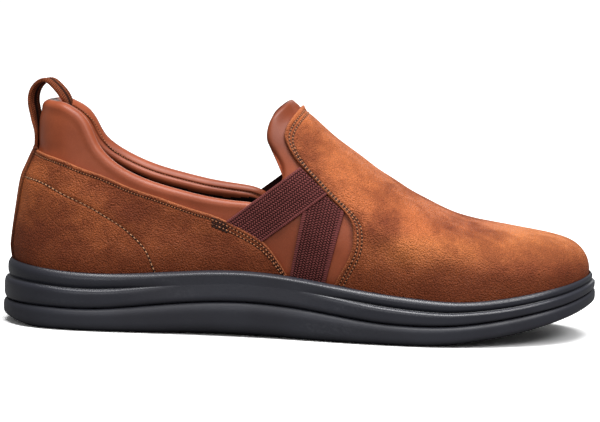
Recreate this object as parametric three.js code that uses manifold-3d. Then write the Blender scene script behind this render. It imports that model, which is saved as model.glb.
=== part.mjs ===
// Slip-on sneaker: one right shoe, empty, standing on its sole.
// Millimetres, +Z up. The toe points along +X and the outer (lateral) side faces -Y.
// The origin is on the floor under the middle of the sole's box.
import * as THREE from 'three';
import { mergeVertices } from 'three/addons/utils/BufferGeometryUtils.js';
import Module from 'manifold-3d';

const wasm = await Module();
wasm.setup();

// Driving sizes
const SOLE_LENGTH = 270; // heel to toe, at the widest line of the sole
const BALL_WIDTH = 97; // sole across the ball of the foot
const STACK_HEIGHT = 28; // floor to the rim of the midsole, near the heel
const INSTEP_HEIGHT = 103; // floor to the top of the instep tab
const CUP_DEPTH = 8; // rim of the midsole down to its footbed
const CUP_FLOOR = 2; // least thickness of the midsole under the footbed, towards the toe
const LEDGE = 4.5; // widest line of the sole in to the suede
const SUEDE = 1.5; // thickness of vamp and quarter
const LINER_WALL = 2; // thickness of the smooth-leather upper away from its edges
const COLLAR_PAD = 9; // thickness of the padded collar at the heel
const COLLAR_DEPTH = 26; // padding's reach below the collar's top line
const ELASTIC = 1.2; // thickness of the side straps
const STRAP_SEAT = 0.5; // clearance of the straps' flat facets over the curved liner
const INSOLE_THICKNESS = 4;
const INSOLE_PLAY = 1.3; // insole's edge in from the foot of the liner
const TAPE_WIDTH = 10; // pull loop, across
const TAPE_THICKNESS = 1.8;
const LOOP_HEIGHT = 8; // pull loop's crown above the collar
const LOOP_SPAN = 14.5; // pull loop, front leg to rear leg
const LOOP_SEAT = 1.2; // loop's flat front leg in from the curved inside of the collar
const LOOP_TURN = 24; // degrees that the loop's crown is twisted about the vertical
const GROOVE_WIDTH = 3; // flex grooves under the outsole
const GROOVE_DEPTH = 1.8;
const GROOVE_MARGIN = 15; // groove's end in from the sole's widest line
const FIT_GAP = 0.3; // clearance between neighbouring pieces

const UPPER_RISE = INSTEP_HEIGHT - STACK_HEIGHT;
const OVERLAY = FIT_GAP + SUEDE; // liner's face out to the suede's face
const TOE_RUN = 75; // length over which the ridge draws back from the toe's outline
const TOE_REACH = 34; // how far it has drawn back at the tip
const HEEL_RUN = 60;
const HEEL_REACH = 32;

// Sole outline: along, as a share of the length from the heel; lateral and medial
// half widths as shares of the ball width. The tip lies a little to the medial side.
const TIP_SIDE = 0.055;
const OUTLINE = [
  [0.0, 0.0, 0.0],
  [0.022, 0.19, 0.19],
  [0.07, 0.3, 0.295],
  [0.15, 0.352, 0.343],
  [0.25, 0.358, 0.333],
  [0.36, 0.365, 0.295],
  [0.47, 0.398, 0.285],
  [0.58, 0.455, 0.345],
  [0.68, 0.491, 0.437],
  [0.77, 0.482, 0.493],
  [0.86, 0.412, 0.459],
  [0.93, 0.31, 0.375],
  [0.98, 0.15, 0.245],
  [1.0, -TIP_SIDE, TIP_SIDE],
];

// Lines round the sole: along, then heights of the underside, of the split between
// outsole and midsole, of the upper groove and of the rim, as shares of the stack height.
const SOLE_LINES = [
  [0.0, 0.1, 0.375, 0.732, 1.03],
  [0.03, 0.04, 0.372, 0.725, 1.0],
  [0.07, 0.0, 0.372, 0.707, 0.968],
  [0.14, 0.0, 0.363, 0.675, 0.929],
  [0.2, 0.0, 0.396, 0.696, 0.932],
  [0.26, 0.006, 0.46, 0.75, 0.968],
  [0.34, 0.036, 0.536, 0.818, 1.029],
  [0.41, 0.04, 0.564, 0.85, 1.05],
  [0.47, 0.025, 0.543, 0.82, 1.018],
  [0.55, 0.0, 0.461, 0.736, 0.921],
  [0.633, 0.0, 0.361, 0.625, 0.811],
  [0.7, 0.0, 0.332, 0.564, 0.75],
  [0.755, 0.029, 0.343, 0.543, 0.714],
  [0.8, 0.086, 0.382, 0.568, 0.721],
  [0.86, 0.18, 0.468, 0.632, 0.782],
  [0.92, 0.32, 0.579, 0.739, 0.879],
  [0.96, 0.43, 0.671, 0.825, 0.955],
  [1.0, 0.57, 0.8, 0.93, 1.05],
];

// Wall profiles: upper line, lower line, place between them, inset as a share of the ledge.
const MIDSOLE_WALL = [
  ['rim', 'groove', 0.04, 0.84],
  ['rim', 'groove', 0.2, 0.6],
  ['rim', 'groove', 0.85, 0.54],
  ['rim', 'groove', 1.0, 0.74],
  ['groove', 'split', 0.12, 0.32],
  ['groove', 'split', 0.5, 0.1],
  ['groove', 'split', 0.88, 0.14],
  ['groove', 'split', 1.0, 0.5],
];
const OUTSOLE_WALL = [
  ['split', 'bottom', 0.0, 0.5],
  ['split', 'bottom', 0.12, 0.08],
  ['split', 'bottom', 0.5, 0.0],
  ['split', 'bottom', 0.82, 0.12],
  ['split', 'bottom', 0.96, 0.45],
  ['split', 'bottom', 1.0, 0.95],
];

// Flex grooves across the underside, as shares of the length.
const FLEX_GROOVES = [0.105, 0.15, 0.195, 0.575, 0.625, 0.675, 0.725];

// Sections of the upper: along, ledge as a share of LEDGE, belly height as a share of the
// upper's rise over the stack, tuck under the belly as a share of LEDGE, roundness power.
const SECTIONS = [
  [0.0, 0.78, 0.11, 0.8, 2.0],
  [0.15, 0.95, 0.12, 0.7, 2.0],
  [0.4, 1.0, 0.135, 0.65, 2.0],
  [0.55, 1.0, 0.13, 0.65, 2.0],
  [0.7, 1.0, 0.08, 0.55, 2.15],
  [0.85, 0.9, 0.035, 0.45, 2.6],
  [0.95, 0.74, 0.025, 0.3, 3.6],
  [1.0, 0.65, 0.033, 0.2, 4.2],
];

// Ridge of the upper over its suede: along, height as a share of the rise over the stack.
// Behind the instep tab the ridge is only the crown that the open side walls lean towards.
const RIDGE = [
  [0.0, 1.5],
  [0.2, 1.38],
  [0.3, 1.28],
  [0.4, 1.17],
  [0.45, 1.1],
  [0.493, 0.99],
  [0.528, 0.881],
  [0.562, 0.779],
  [0.597, 0.69],
  [0.631, 0.605],
  [0.665, 0.528],
  [0.7, 0.454],
  [0.734, 0.392],
  [0.768, 0.345],
  [0.802, 0.313],
  [0.85, 0.282],
  [0.9, 0.257],
  [0.95, 0.244],
  [1.0, 0.243],
];

// Plan line under the ridge: along, side as a share of the ball width, medial positive.
const SPINE = [
  [0.0, 0.0],
  [0.35, -0.01],
  [0.6, 0.005],
  [0.8, 0.03],
  [1.0, TIP_SIDE],
];

// Forward set of the heel curve: height over the stack as a share of the rise, and the
// set as a share of the heel reach.
const HEEL_CURVE = [
  [0.09, 0.0],
  [0.32, 0.053],
  [0.49, 0.085],
  [0.6, 0.16],
  [0.69, 0.212],
  [0.755, 0.185],
  [0.88, 0.14],
  [1.0, 0.137],
];

// Edges drawn on the upper: station of the column's foot, station of its top, height of
// the top as a share of the rise over the stack. A station is a share along the sole.
const COLLAR_LINE = [
  [0.0, 0.0, 0.985],
  [0.045, 0.045, 0.987],
  [0.089, 0.089, 0.966],
  [0.125, 0.125, 0.915],
  [0.145, 0.144, 0.845],
  [0.16, 0.157, 0.76],
  [0.182, 0.18, 0.682],
  [0.214, 0.214, 0.612],
  [0.258, 0.258, 0.555],
  [0.3, 0.3, 0.516],
  [0.347, 0.347, 0.478],
  [0.394, 0.394, 0.452],
  [0.425, 0.425, 0.433],
  [0.449, 0.449, 0.4],
];
const TAB_LINE = [
  [0.449, 0.449, 0.4],
  [0.462, 0.463, 0.51],
  [0.475, 0.468, 0.63],
  [0.488, 0.454, 0.723],
  [0.5, 0.4415, 0.8],
  [0.512, 0.4415, 0.862],
  [0.524, 0.4485, 0.93],
  [0.537, 0.461, 0.99],
  [0.55, 0.477, 1.04],
];
const RIDGE_COLUMNS = [
  [0.55, 0.477],
  [0.6, 0.542],
  [0.66, 0.625],
  [0.72, 0.705],
  [0.78, 0.778],
  [1.0, 1.0],
];
const QUARTER_LINE = [
  [0.0, 0.0, 0.687],
  [0.085, 0.085, 0.639],
  [0.129, 0.129, 0.597],
  [0.167, 0.167, 0.561],
  [0.221, 0.221, 0.489],
  [0.271, 0.271, 0.435],
  [0.322, 0.322, 0.377],
  [0.356, 0.356, 0.344],
  [0.382, 0.382, 0.309],
  [0.414, 0.414, 0.256],
  [0.443, 0.443, 0.193],
  [0.459, 0.458, 0.11],
  [0.471, 0.469, 0.032],
  [0.474, 0.472, 0.004],
];
// Rear edge of the vamp: height as a share of the rise over the stack, station.
const VAMP_LINE = [
  [-0.12, 0.556],
  [-0.02, 0.567],
  [0.095, 0.583],
  [0.183, 0.592],
  [0.271, 0.5926],
  [0.343, 0.587],
  [0.392, 0.576],
  [0.491, 0.5456],
  [0.589, 0.518],
  [0.655, 0.499],
  [0.753, 0.479],
  [0.808, 0.4726],
  [0.875, 0.476],
  [0.94, 0.488],
  [1.0, 0.503],
];
// Long strap: heights of its lower and upper corners on the quarter's edge, as stations,
// and on the vamp's edge, as heights.
const LONG_STRAP = { rearLow: 0.444, rearHigh: 0.383, frontLow: 0.5, frontHigh: 0.637 };
// Short strap: stations of its foot and of its rear corner under the long strap, the share
// of its width that ends there, and the height of its front corner on the vamp's edge.
const SHORT_STRAP = {
  footRear: 0.481,
  footFront: 0.5415,
  topRear: 0.502,
  underLong: 0.6,
  frontHeight: 0.398,
};

// Middle line of the pull loop between its low end and its crown: share of the span from
// the rear leg, share of the height.
const LOOP_LINE = [
  [0.0, 0.6],
  [0.12, 0.85],
  [0.5, 1.0],
  [0.86, 0.9],
];
const LOOP_BULGE = 3; // rear leg stands out behind the tape's foot by this
const LOOP_FOOT = 0.045; // tape's foot over the quarter's edge, as a share of the rise
const LOOP_REST = 0.085; // height up to which the tape lies on the collar, likewise
const LOOP_TAIL = 11; // tape's end below the collar's top line, inside

const MATERIALS = {
  suede: new THREE.MeshStandardMaterial({ name: 'suede', color: 0x9a5428, roughness: 0.85 }),
  leather: new THREE.MeshStandardMaterial({ name: 'smooth leather', color: 0x84401f, roughness: 0.5 }),
  elastic: new THREE.MeshStandardMaterial({ name: 'elastic', color: 0x42262a, roughness: 0.9 }),
  tape: new THREE.MeshStandardMaterial({ name: 'woven tape', color: 0x6d3520, roughness: 0.9 }),
  rubber: new THREE.MeshStandardMaterial({ name: 'rubber', color: 0x2b2c30, roughness: 0.6 }),
  foam: new THREE.MeshStandardMaterial({ name: 'moulded foam', color: 0x2f3035, roughness: 0.65 }),
  footbed: new THREE.MeshStandardMaterial({ name: 'footbed', color: 0x3a241a, roughness: 0.8 }),
};

// Small mathematics
const clamp = (value, low, high) => Math.min(Math.max(value, low), high);
const mix = (a, b, share) => a + (b - a) * share;
const column = (table, index) => table.map((row) => [row[0], row[index]]);
const stationTurn = (station) => Math.acos(1 - 2 * clamp(station, 0, 1)) / Math.PI;
const turnStation = (turn) => (1 - Math.cos(Math.PI * turn)) / 2;

// Natural cubic spline through [x, y] pairs.
function smoothCurve(pairs) {
  const n = pairs.length;
  const x = pairs.map((pair) => pair[0]);
  const y = pairs.map((pair) => pair[1]);
  const bend = new Array(n).fill(0);
  const work = new Array(n).fill(0);
  for (let i = 1; i < n - 1; i++) {
    const share = (x[i] - x[i - 1]) / (x[i + 1] - x[i - 1]);
    const pivot = share * bend[i - 1] + 2;
    bend[i] = (share - 1) / pivot;
    const slope = (y[i + 1] - y[i]) / (x[i + 1] - x[i]) - (y[i] - y[i - 1]) / (x[i] - x[i - 1]);
    work[i] = ((6 * slope) / (x[i + 1] - x[i - 1]) - share * work[i - 1]) / pivot;
  }
  for (let i = n - 2; i >= 0; i--) bend[i] = bend[i] * bend[i + 1] + work[i];
  return (at) => {
    const place = clamp(at, x[0], x[n - 1]);
    let k = 1;
    while (k < n - 1 && place > x[k]) k++;
    const h = x[k] - x[k - 1];
    const a = (x[k] - place) / h;
    const b = 1 - a;
    const lift = ((a ** 3 - a) * bend[k - 1] + (b ** 3 - b) * bend[k]) * h * h;
    return a * y[k - 1] + b * y[k] + lift / 6;
  };
}

// Spline that never overshoots its rows, so that flat stretches stay flat.
function steadyCurve(pairs) {
  const n = pairs.length;
  const x = pairs.map((pair) => pair[0]);
  const y = pairs.map((pair) => pair[1]);
  const slope = [];
  for (let i = 0; i < n - 1; i++) slope.push((y[i + 1] - y[i]) / (x[i + 1] - x[i]));
  const tangent = [slope[0]];
  for (let i = 1; i < n - 1; i++) {
    const same = slope[i - 1] * slope[i] > 0;
    tangent.push(same ? (2 * slope[i - 1] * slope[i]) / (slope[i - 1] + slope[i]) : 0);
  }
  tangent.push(slope[n - 2]);
  return (at) => {
    const place = clamp(at, x[0], x[n - 1]);
    let k = 1;
    while (k < n - 1 && place > x[k]) k++;
    const h = x[k] - x[k - 1];
    const t = (place - x[k - 1]) / h;
    const rise = y[k - 1] * (1 + 2 * t) * (1 - t) ** 2 + y[k] * t * t * (3 - 2 * t);
    return rise + h * t * (1 - t) * (tangent[k - 1] * (1 - t) - tangent[k] * t);
  };
}

// The sole's plan and lines
const alongTurn = (table, index) => table.map((row) => [stationTurn(row[0]), row[index]]);
const halfWidth = {
  lateral: smoothCurve(alongTurn(OUTLINE, 1)),
  medial: smoothCurve(alongTurn(OUTLINE, 2)),
};
const soleLine = {
  bottom: steadyCurve(column(SOLE_LINES, 1)),
  split: smoothCurve(column(SOLE_LINES, 2)),
  groove: smoothCurve(column(SOLE_LINES, 3)),
  rim: smoothCurve(column(SOLE_LINES, 4)),
};
const lineHeight = (line, station) => STACK_HEIGHT * soleLine[line](station);
const footbedHeight = (station) =>
  Math.max(lineHeight('rim', station) - CUP_DEPTH, lineHeight('split', station) + CUP_FLOOR);
const other = (side) => (side === 'lateral' ? 'medial' : 'lateral');
const handOf = (side) => (side === 'lateral' ? -1 : 1);

function outlinePoint(side, turn) {
  const x = SOLE_LENGTH * (turnStation(turn) - 0.5);
  return [x, handOf(side) * BALL_WIDTH * halfWidth[side](turn)];
}

// Unit vector in plan that points into the shoe, square to the outline.
function inward(side, turn) {
  const step = 1e-4;
  const before = turn < step ? outlinePoint(other(side), step) : outlinePoint(side, turn - step);
  const after = turn > 1 - step ? outlinePoint(other(side), 1 - step) : outlinePoint(side, turn + step);
  const dx = after[0] - before[0];
  const dy = after[1] - before[1];
  const length = Math.hypot(dx, dy);
  const hand = handOf(side);
  return [(hand * dy) / length, (-hand * dx) / length];
}

function insetPoint(side, turn, inset) {
  const [x, y] = outlinePoint(side, turn);
  const [nx, ny] = inward(side, turn);
  return [x + nx * inset, y + ny * inset];
}

// Surface of the upper
const section = {
  ledge: steadyCurve(column(SECTIONS, 1)),
  belly: steadyCurve(column(SECTIONS, 2)),
  tuck: steadyCurve(column(SECTIONS, 3)),
  power: steadyCurve(column(SECTIONS, 4)),
};
const riseHeight = (share) => STACK_HEIGHT + UPPER_RISE * share;
const ledgeAt = (station) => LEDGE * section.ledge(station);
const tuckAt = (station) => LEDGE * section.tuck(station);
const bellyHeight = (station) => riseHeight(section.belly(station));
const featherHeight = (station) => footbedHeight(station) + FIT_GAP;
const ridgeShare = smoothCurve(RIDGE);
const spineShare = smoothCurve(SPINE);
const heelShare = steadyCurve(HEEL_CURVE);
const heelWeight = steadyCurve([[0, 1], [0.2, 1], [0.34, 0], [1, 0]]); // along, share of the heel curve
const heelEnd = -SOLE_LENGTH / 2 + ledgeAt(0) + OVERLAY;
const toeEnd = SOLE_LENGTH / 2 - ledgeAt(1) - OVERLAY;

// Height of the liner's ridge, a suede's thickness under the ridge that shows.
function ridgeHeight(x) {
  const station = x / SOLE_LENGTH + 0.5;
  const step = 0.004;
  const rise = UPPER_RISE * (ridgeShare(station + step) - ridgeShare(station - step));
  const slope = rise / (2 * step * SOLE_LENGTH);
  return riseHeight(ridgeShare(station)) - OVERLAY * Math.hypot(1, slope);
}

function spinePoint(turn) {
  const station = turnStation(turn);
  const x = mix(heelEnd, toeEnd, station);
  const toe = clamp((x - toeEnd + TOE_RUN) / TOE_RUN, 0, 1);
  const heel = clamp((heelEnd + HEEL_RUN - x) / HEEL_RUN, 0, 1);
  return [x - TOE_REACH * toe * toe + HEEL_REACH * heel * heel, BALL_WIDTH * spineShare(station)];
}

// Point on the liner's outer face. The turn runs from heel (0) to toe (1) along one side;
// the level runs from the feather edge (-1) over the belly (0) to the ridge (1).
function linerPoint(side, turn, level) {
  if (turn < 0) return linerPoint(other(side), -turn, level);
  if (turn > 1) return linerPoint(other(side), 2 - turn, level);
  if (level > 1) return linerPoint(other(side), turn, 2 - level);
  const station = turnStation(turn);
  const inset = ledgeAt(station) + OVERLAY;
  const belly = bellyHeight(station);
  let x;
  let y;
  let z;
  if (level <= 0) {
    [x, y] = insetPoint(side, turn, inset + tuckAt(station) * level * level);
    z = mix(featherHeight(station), belly, 1 + level);
  } else {
    const out = insetPoint(side, turn, inset);
    const spine = spinePoint(turn);
    const spread = Math.cos((level * Math.PI) / 2);
    x = mix(spine[0], out[0], spread);
    y = mix(spine[1], out[1], spread);
    const climb = Math.sqrt(Math.max(0, 1 - spread ** section.power(station)));
    z = mix(belly, ridgeHeight(x), climb);
  }
  const backward = Math.max(0, inward(side, turn)[0]) * heelWeight(station);
  x += HEEL_REACH * backward * heelShare((z - STACK_HEIGHT) / UPPER_RISE);
  return new THREE.Vector3(x, y, z);
}

function linerNormal(side, turn, level) {
  const step = 1e-3;
  const along = linerPoint(side, turn + step, level).sub(linerPoint(side, turn - step, level));
  const up = linerPoint(side, turn, level + step).sub(linerPoint(side, turn, level - step));
  const normal = along.cross(up).multiplyScalar(side === 'lateral' ? 1 : -1);
  if (level < 0) normal.z = 0;
  if (normal.lengthSq() > 1e-12) return normal.normalize();
  const spot = linerPoint(side, turn, level);
  const slope = ridgeHeight(spot.x + 0.5) - ridgeHeight(spot.x - 0.5);
  return new THREE.Vector3(-slope, 0, 1).normalize();
}

const layerPoint = (side, turn, level, offset) =>
  linerPoint(side, turn, level).addScaledVector(linerNormal(side, turn, level), offset);

// Level on a column at which the liner reaches a height.
function levelAt(side, turn, height) {
  const station = turnStation(turn);
  const belly = bellyHeight(station);
  const feather = featherHeight(station);
  if (height <= belly) return (height - feather) / (belly - feather) - 1;
  const out = insetPoint(side, turn, ledgeAt(station) + OVERLAY);
  const spine = spinePoint(turn);
  let spread = 1;
  for (let pass = 0; pass < 6; pass++) {
    const climb = clamp((height - belly) / (ridgeHeight(mix(spine[0], out[0], spread)) - belly), 0, 1);
    spread = (1 - climb * climb) ** (1 / section.power(station));
  }
  return (Math.acos(clamp(spread, 0, 1)) * 2) / Math.PI;
}

// Edge drawn on one side as a curve over 0 to 1: foot and top as turns, top as a level.
function drawnEdge(rows) {
  const reach = [0];
  for (let i = 1; i < rows.length; i++) {
    const ahead = (rows[i][1] - rows[i - 1][1]) * SOLE_LENGTH;
    const lift = (rows[i][2] - rows[i - 1][2]) * UPPER_RISE;
    reach.push(reach[i - 1] + Math.hypot(ahead, lift));
  }
  const total = reach[reach.length - 1];
  const over = (index) => rows.map((row, i) => [reach[i] / total, row[index]]);
  const foot = steadyCurve(rows.map((row, i) => [reach[i] / total, stationTurn(row[0])]));
  const top = smoothCurve(rows.map((row, i) => [reach[i] / total, stationTurn(row[1])]));
  const height = smoothCurve(over(2));
  return (side, share) => {
    const turn = clamp(top(share), 0, 1);
    return { foot: foot(share), turn, level: levelAt(side, turn, riseHeight(height(share))) };
  };
}

const collarEdge = drawnEdge(COLLAR_LINE);
const tabEdge = drawnEdge(TAB_LINE);
const quarterEdge = drawnEdge(QUARTER_LINE);
const vampStation = smoothCurve(VAMP_LINE);
const vampTurn = (height) => stationTurn(vampStation((height - STACK_HEIGHT) / UPPER_RISE));

// Level of the vamp's edge for a height, found on the edge itself.
function vampEdge(side, share) {
  const height = riseHeight(share);
  const turn = vampTurn(height);
  return { turn, level: levelAt(side, turn, height) };
}

// Solids
class Skin {
  constructor() {
    this.places = [];
  }

  triangle(a, b, c) {
    for (const p of [a, b, c]) this.places.push(p.x, p.y, p.z);
  }

  quad(a, b, c, d) {
    this.triangle(a, b, c);
    this.triangle(a, c, d);
  }

  // Faces between neighbouring rows of points.
  sheet(rows, turned = false) {
    for (let i = 0; i + 1 < rows.length; i++) {
      for (let j = 0; j + 1 < rows[i].length; j++) {
        const corners = [rows[i][j], rows[i][j + 1], rows[i + 1][j + 1], rows[i + 1][j]];
        if (turned) corners.reverse();
        this.quad(...corners);
      }
    }
  }

  // One closed body: shared corners merged, flat slivers dropped, faces outward.
  geometry() {
    const loose = new THREE.BufferGeometry();
    loose.setAttribute('position', new THREE.Float32BufferAttribute(this.places, 3));
    const merged = mergeVertices(loose, 1e-3);
    const spot = merged.getAttribute('position');
    const index = merged.getIndex().array;
    const corner = (i) => new THREE.Vector3().fromBufferAttribute(spot, index[i]);
    const kept = [];
    let volume = 0;
    for (let i = 0; i < index.length; i += 3) {
      const [a, b, c] = [index[i], index[i + 1], index[i + 2]];
      if (a === b || b === c || c === a) continue;
      kept.push(a, b, c);
      volume += corner(i).dot(corner(i + 1).cross(corner(i + 2)));
    }
    if (volume < 0) kept.reverse();
    merged.setIndex(kept);
    return merged;
  }
}

// A sheet with thickness from two grids of the same size, closed along the named borders.
function walledGeometry(outer, inner, borders) {
  const skin = new Skin();
  skin.sheet(outer);
  skin.sheet(inner, true);
  const last = outer.length - 1;
  const end = outer[0].length - 1;
  if (borders.first) skin.sheet([inner[0], outer[0]]);
  if (borders.last) skin.sheet([outer[last], inner[last]]);
  if (borders.start) skin.sheet([outer.map((row) => row[0]), inner.map((row) => row[0])]);
  if (borders.end) skin.sheet([inner.map((row) => row[end]), outer.map((row) => row[end])]);
  return skin.geometry();
}

// Rows round the sole from heel to toe on the lateral side and back on the medial side.
const SOLE_COLUMNS = 40; // on each side
function soleRing(inset, height) {
  const ring = [];
  for (const side of ['lateral', 'medial']) {
    const row = [];
    for (let i = 0; i <= SOLE_COLUMNS; i++) {
      const turn = i / SOLE_COLUMNS;
      const station = turnStation(turn);
      const [x, y] = insetPoint(side, turn, inset(station));
      row.push(new THREE.Vector3(x, y, height(station)));
    }
    ring.push(side === 'lateral' ? row : row.reverse());
  }
  return [...ring[0], ...ring[1]];
}

// Closed body from rings that run out along one side and back along the other.
function ringSolid(rings) {
  const skin = new Skin();
  skin.sheet(rings);
  const cap = (ring, turned) => {
    const rows = [];
    for (let i = 0; i < ring.length / 2; i++) rows.push([ring[i], ring[ring.length - 1 - i]]);
    skin.sheet(rows, turned);
  };
  cap(rings[0], false);
  cap(rings[rings.length - 1], true);
  return skin.geometry();
}

const wallRing = ([upperLine, lowerLine, share, inset], drop = 0) =>
  soleRing(
    (station) => ledgeAt(station) * inset,
    (station) => mix(lineHeight(upperLine, station), lineHeight(lowerLine, station), share) - drop,
  );

// Inset of the liner's foot where the rim passes it, which the cup's wall clears.
function rimInset(station) {
  const belly = bellyHeight(station);
  const depth = (belly - lineHeight('rim', station)) / (belly - featherHeight(station));
  const under = clamp(depth, 0, 1);
  return ledgeAt(station) + tuckAt(station) * under * under;
}

function midsoleGeometry() {
  const cup = (station) => rimInset(station) - FIT_GAP;
  const rings = [
    soleRing(cup, footbedHeight),
    soleRing(cup, (station) => lineHeight('rim', station)),
    ...MIDSOLE_WALL.map((row) => wallRing(row)),
  ];
  return ringSolid(rings);
}

function toManifold(geometry) {
  const mesh = new wasm.Mesh({
    numProp: 3,
    vertProperties: new Float32Array(geometry.getAttribute('position').array),
    triVerts: new Uint32Array(geometry.getIndex().array),
  });
  return new wasm.Manifold(mesh);
}

function fromManifold(body) {
  const mesh = body.getMesh();
  const geometry = new THREE.BufferGeometry();
  geometry.setAttribute('position', new THREE.Float32BufferAttribute(mesh.vertProperties, 3));
  geometry.setIndex(Array.from(mesh.triVerts));
  return geometry;
}

// Largest body of a cut solid, without the specks that a cut can leave where columns meet.
function wholeBody(solid) {
  const bodies = solid.decompose();
  return bodies.reduce((best, body) => (body.volume() > best.volume() ? body : best));
}

function grooveGeometry(station) {
  const turn = stationTurn(station);
  const low = outlinePoint('lateral', turn)[1] + GROOVE_MARGIN;
  const high = outlinePoint('medial', turn)[1] - GROOVE_MARGIN;
  const box = new THREE.BoxGeometry(GROOVE_WIDTH, high - low, 2 * GROOVE_DEPTH);
  const x = SOLE_LENGTH * (station - 0.5);
  box.translate(x, (low + high) / 2, lineHeight('bottom', station));
  box.deleteAttribute('normal');
  box.deleteAttribute('uv');
  return mergeVertices(box);
}

function outsoleGeometry() {
  const rings = OUTSOLE_WALL.map((row, i) => wallRing(row, i === 0 ? FIT_GAP : 0));
  let body = toManifold(ringSolid(rings));
  for (const station of FLEX_GROOVES) body = body.subtract(toManifold(grooveGeometry(station)));
  return fromManifold(body);
}

function insoleGeometry() {
  const edge = (station) => ledgeAt(station) + tuckAt(station) + OVERLAY + LINER_WALL + INSOLE_PLAY;
  const base = (station) => footbedHeight(station) + FIT_GAP;
  const bevel = INSOLE_THICKNESS / 4;
  return ringSolid([
    soleRing((station) => edge(station) + bevel, (station) => base(station) + INSOLE_THICKNESS),
    soleRing(edge, (station) => base(station) + INSOLE_THICKNESS - bevel),
    soleRing(edge, base),
  ]);
}

// Columns of the upper on one side, from the heel to the toe.
const COLLAR_COLUMNS = 16;
const TAB_COLUMNS = 9;
const TOE_COLUMNS = 11;
const TOE_CROWDING = 1.2; // power that sets the toe's columns closer at their start
const RIDGE_SPREAD = 4; // last rows spread wider where a column ends on the ridge
const ridgeTop = steadyCurve(RIDGE_COLUMNS.map((row) => [stationTurn(row[0]), stationTurn(row[1])]));
function upperColumns(side) {
  const columns = [];
  for (let i = 0; i <= COLLAR_COLUMNS; i++) {
    const share = i / COLLAR_COLUMNS;
    columns.push({ ...collarEdge(side, share), collar: 1 - share, tab: 0, lipRows: 1 });
  }
  for (let i = 1; i <= TAB_COLUMNS; i++) {
    const tab = i / TAB_COLUMNS;
    const edge = tabEdge(side, tab);
    columns.push({ ...edge, level: i === TAB_COLUMNS ? 1 : edge.level, collar: 0, tab, lipRows: 1 });
  }
  const start = stationTurn(RIDGE_COLUMNS[0][0]);
  for (let i = 1; i <= TOE_COLUMNS; i++) {
    const foot = mix(start, 1, (i / TOE_COLUMNS) ** TOE_CROWDING);
    columns.push({ foot, turn: ridgeTop(foot), level: 1, collar: 0, tab: 1, lipRows: RIDGE_SPREAD });
  }
  return columns;
}

// Padding at the edge: full over the collar, down to a rolled edge at the tab.
const EDGE_WALL = LINER_WALL * 2.3; // wall at the tab's rolled edge
const EDGE_DEPTH = 8; // the roll's reach below that edge
const ROLL_SHIFT = 1.6; // rolled edge of the tab stands out over the liner by this
const COLLAR_SHIFT = 0.8; // collar's edge likewise
const SHIFT_DEPTH = 6.5; // both are back on the liner at this distance from the edge
const PAD_SPREAD = 2.2; // padding is full over the rear part of the collar, one over this
const PAD_EASE = 0.6; // power of its growth from the notch
const padShare = (collar) => clamp(collar * PAD_SPREAD, 0, 1) ** PAD_EASE;
const padAt = (collar) => mix(EDGE_WALL, COLLAR_PAD, padShare(collar));
const padDepthAt = (collar) => mix(EDGE_DEPTH, COLLAR_DEPTH, padShare(collar));
// The tab's roll fades out near the notch, the collar's at its front end.
const tabRoll = (tab) => ROLL_SHIFT * clamp(2.2 * tab - 1, 0, 1);
const collarRoll = (collar) => COLLAR_SHIFT * clamp(4 * collar, 0, 1);

const LOWER_LEVELS = [-1, -0.5, 0];
const BODY_ROWS = 5;
const LIP_SHARES = [1, 0.5, 0.14, 0]; // rows of the rounded edge, as shares of its depth
const LEAN_POWER = 2.2; // a column leans from its foot to its top by this power of the height

// Places on one column, from the feather edge to the top, as turns and levels.
function columnPlaces(side, one) {
  const place = (share) => ({
    side,
    turn: mix(one.foot, one.turn, share ** LEAN_POWER),
    level: one.level * share,
  });
  const steps = 24;
  const reach = [0];
  for (let i = 1; i <= steps; i++) {
    const before = place((i - 1) / steps);
    const after = place(i / steps);
    const start = linerPoint(side, before.turn, before.level);
    reach.push(reach[i - 1] + start.distanceTo(linerPoint(side, after.turn, after.level)));
  }
  const shareFromTop = (distance) => {
    const goal = reach[steps] - distance;
    let k = 1;
    while (k < steps && reach[k] < goal) k++;
    return clamp((k - 1 + (goal - reach[k - 1]) / (reach[k] - reach[k - 1])) / steps, 0, 1);
  };
  const lip = (padAt(one.collar) / 2) * one.lipRows;
  const places = LOWER_LEVELS.map((level) => ({ side, turn: one.foot, level }));
  for (let i = 1; i <= BODY_ROWS; i++) {
    places.push(place((shareFromTop(lip) * i) / (BODY_ROWS + 1)));
  }
  for (const share of LIP_SHARES) places.push(place(shareFromTop(lip * share)));
  return places;
}

// Columns of places all round the upper: lateral side to the toe, medial side back. Each
// place also gets its distance from the open edge, and the roll's shift off the liner.
function upperRing() {
  const ring = [];
  for (const side of ['lateral', 'medial']) {
    const columns = upperColumns(side).map((one) => ({ ...one, places: columnPlaces(side, one) }));
    ring.push(side === 'lateral' ? columns : columns.reverse());
  }
  const columns = [...ring[0], ...ring[1]];
  const spot = (place) => linerPoint(place.side, place.turn, place.level);
  const open = columns.filter((one) => one.foot <= stationTurn(RIDGE_COLUMNS[0][0]) + 1e-9);
  const edge = open.map((one) => spot(one.places[one.places.length - 1]));
  const segment = new THREE.Line3();
  const nearest = new THREE.Vector3();
  for (const one of columns) {
    for (const place of one.places) {
      place.away = Infinity;
      for (let i = 0; place.level > 0 && i < edge.length; i++) {
        segment.set(edge[i], edge[(i + 1) % edge.length]);
        segment.closestPointToPoint(spot(place), true, nearest);
        place.away = Math.min(place.away, nearest.distanceTo(spot(place)));
      }
      const roll = Math.cos((clamp(place.away / SHIFT_DEPTH, 0, 1) * Math.PI) / 2) ** 2;
      place.shift = roll * (tabRoll(one.tab) + collarRoll(one.collar));
    }
  }
  return columns;
}

const UPPER_RING = upperRing();

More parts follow.
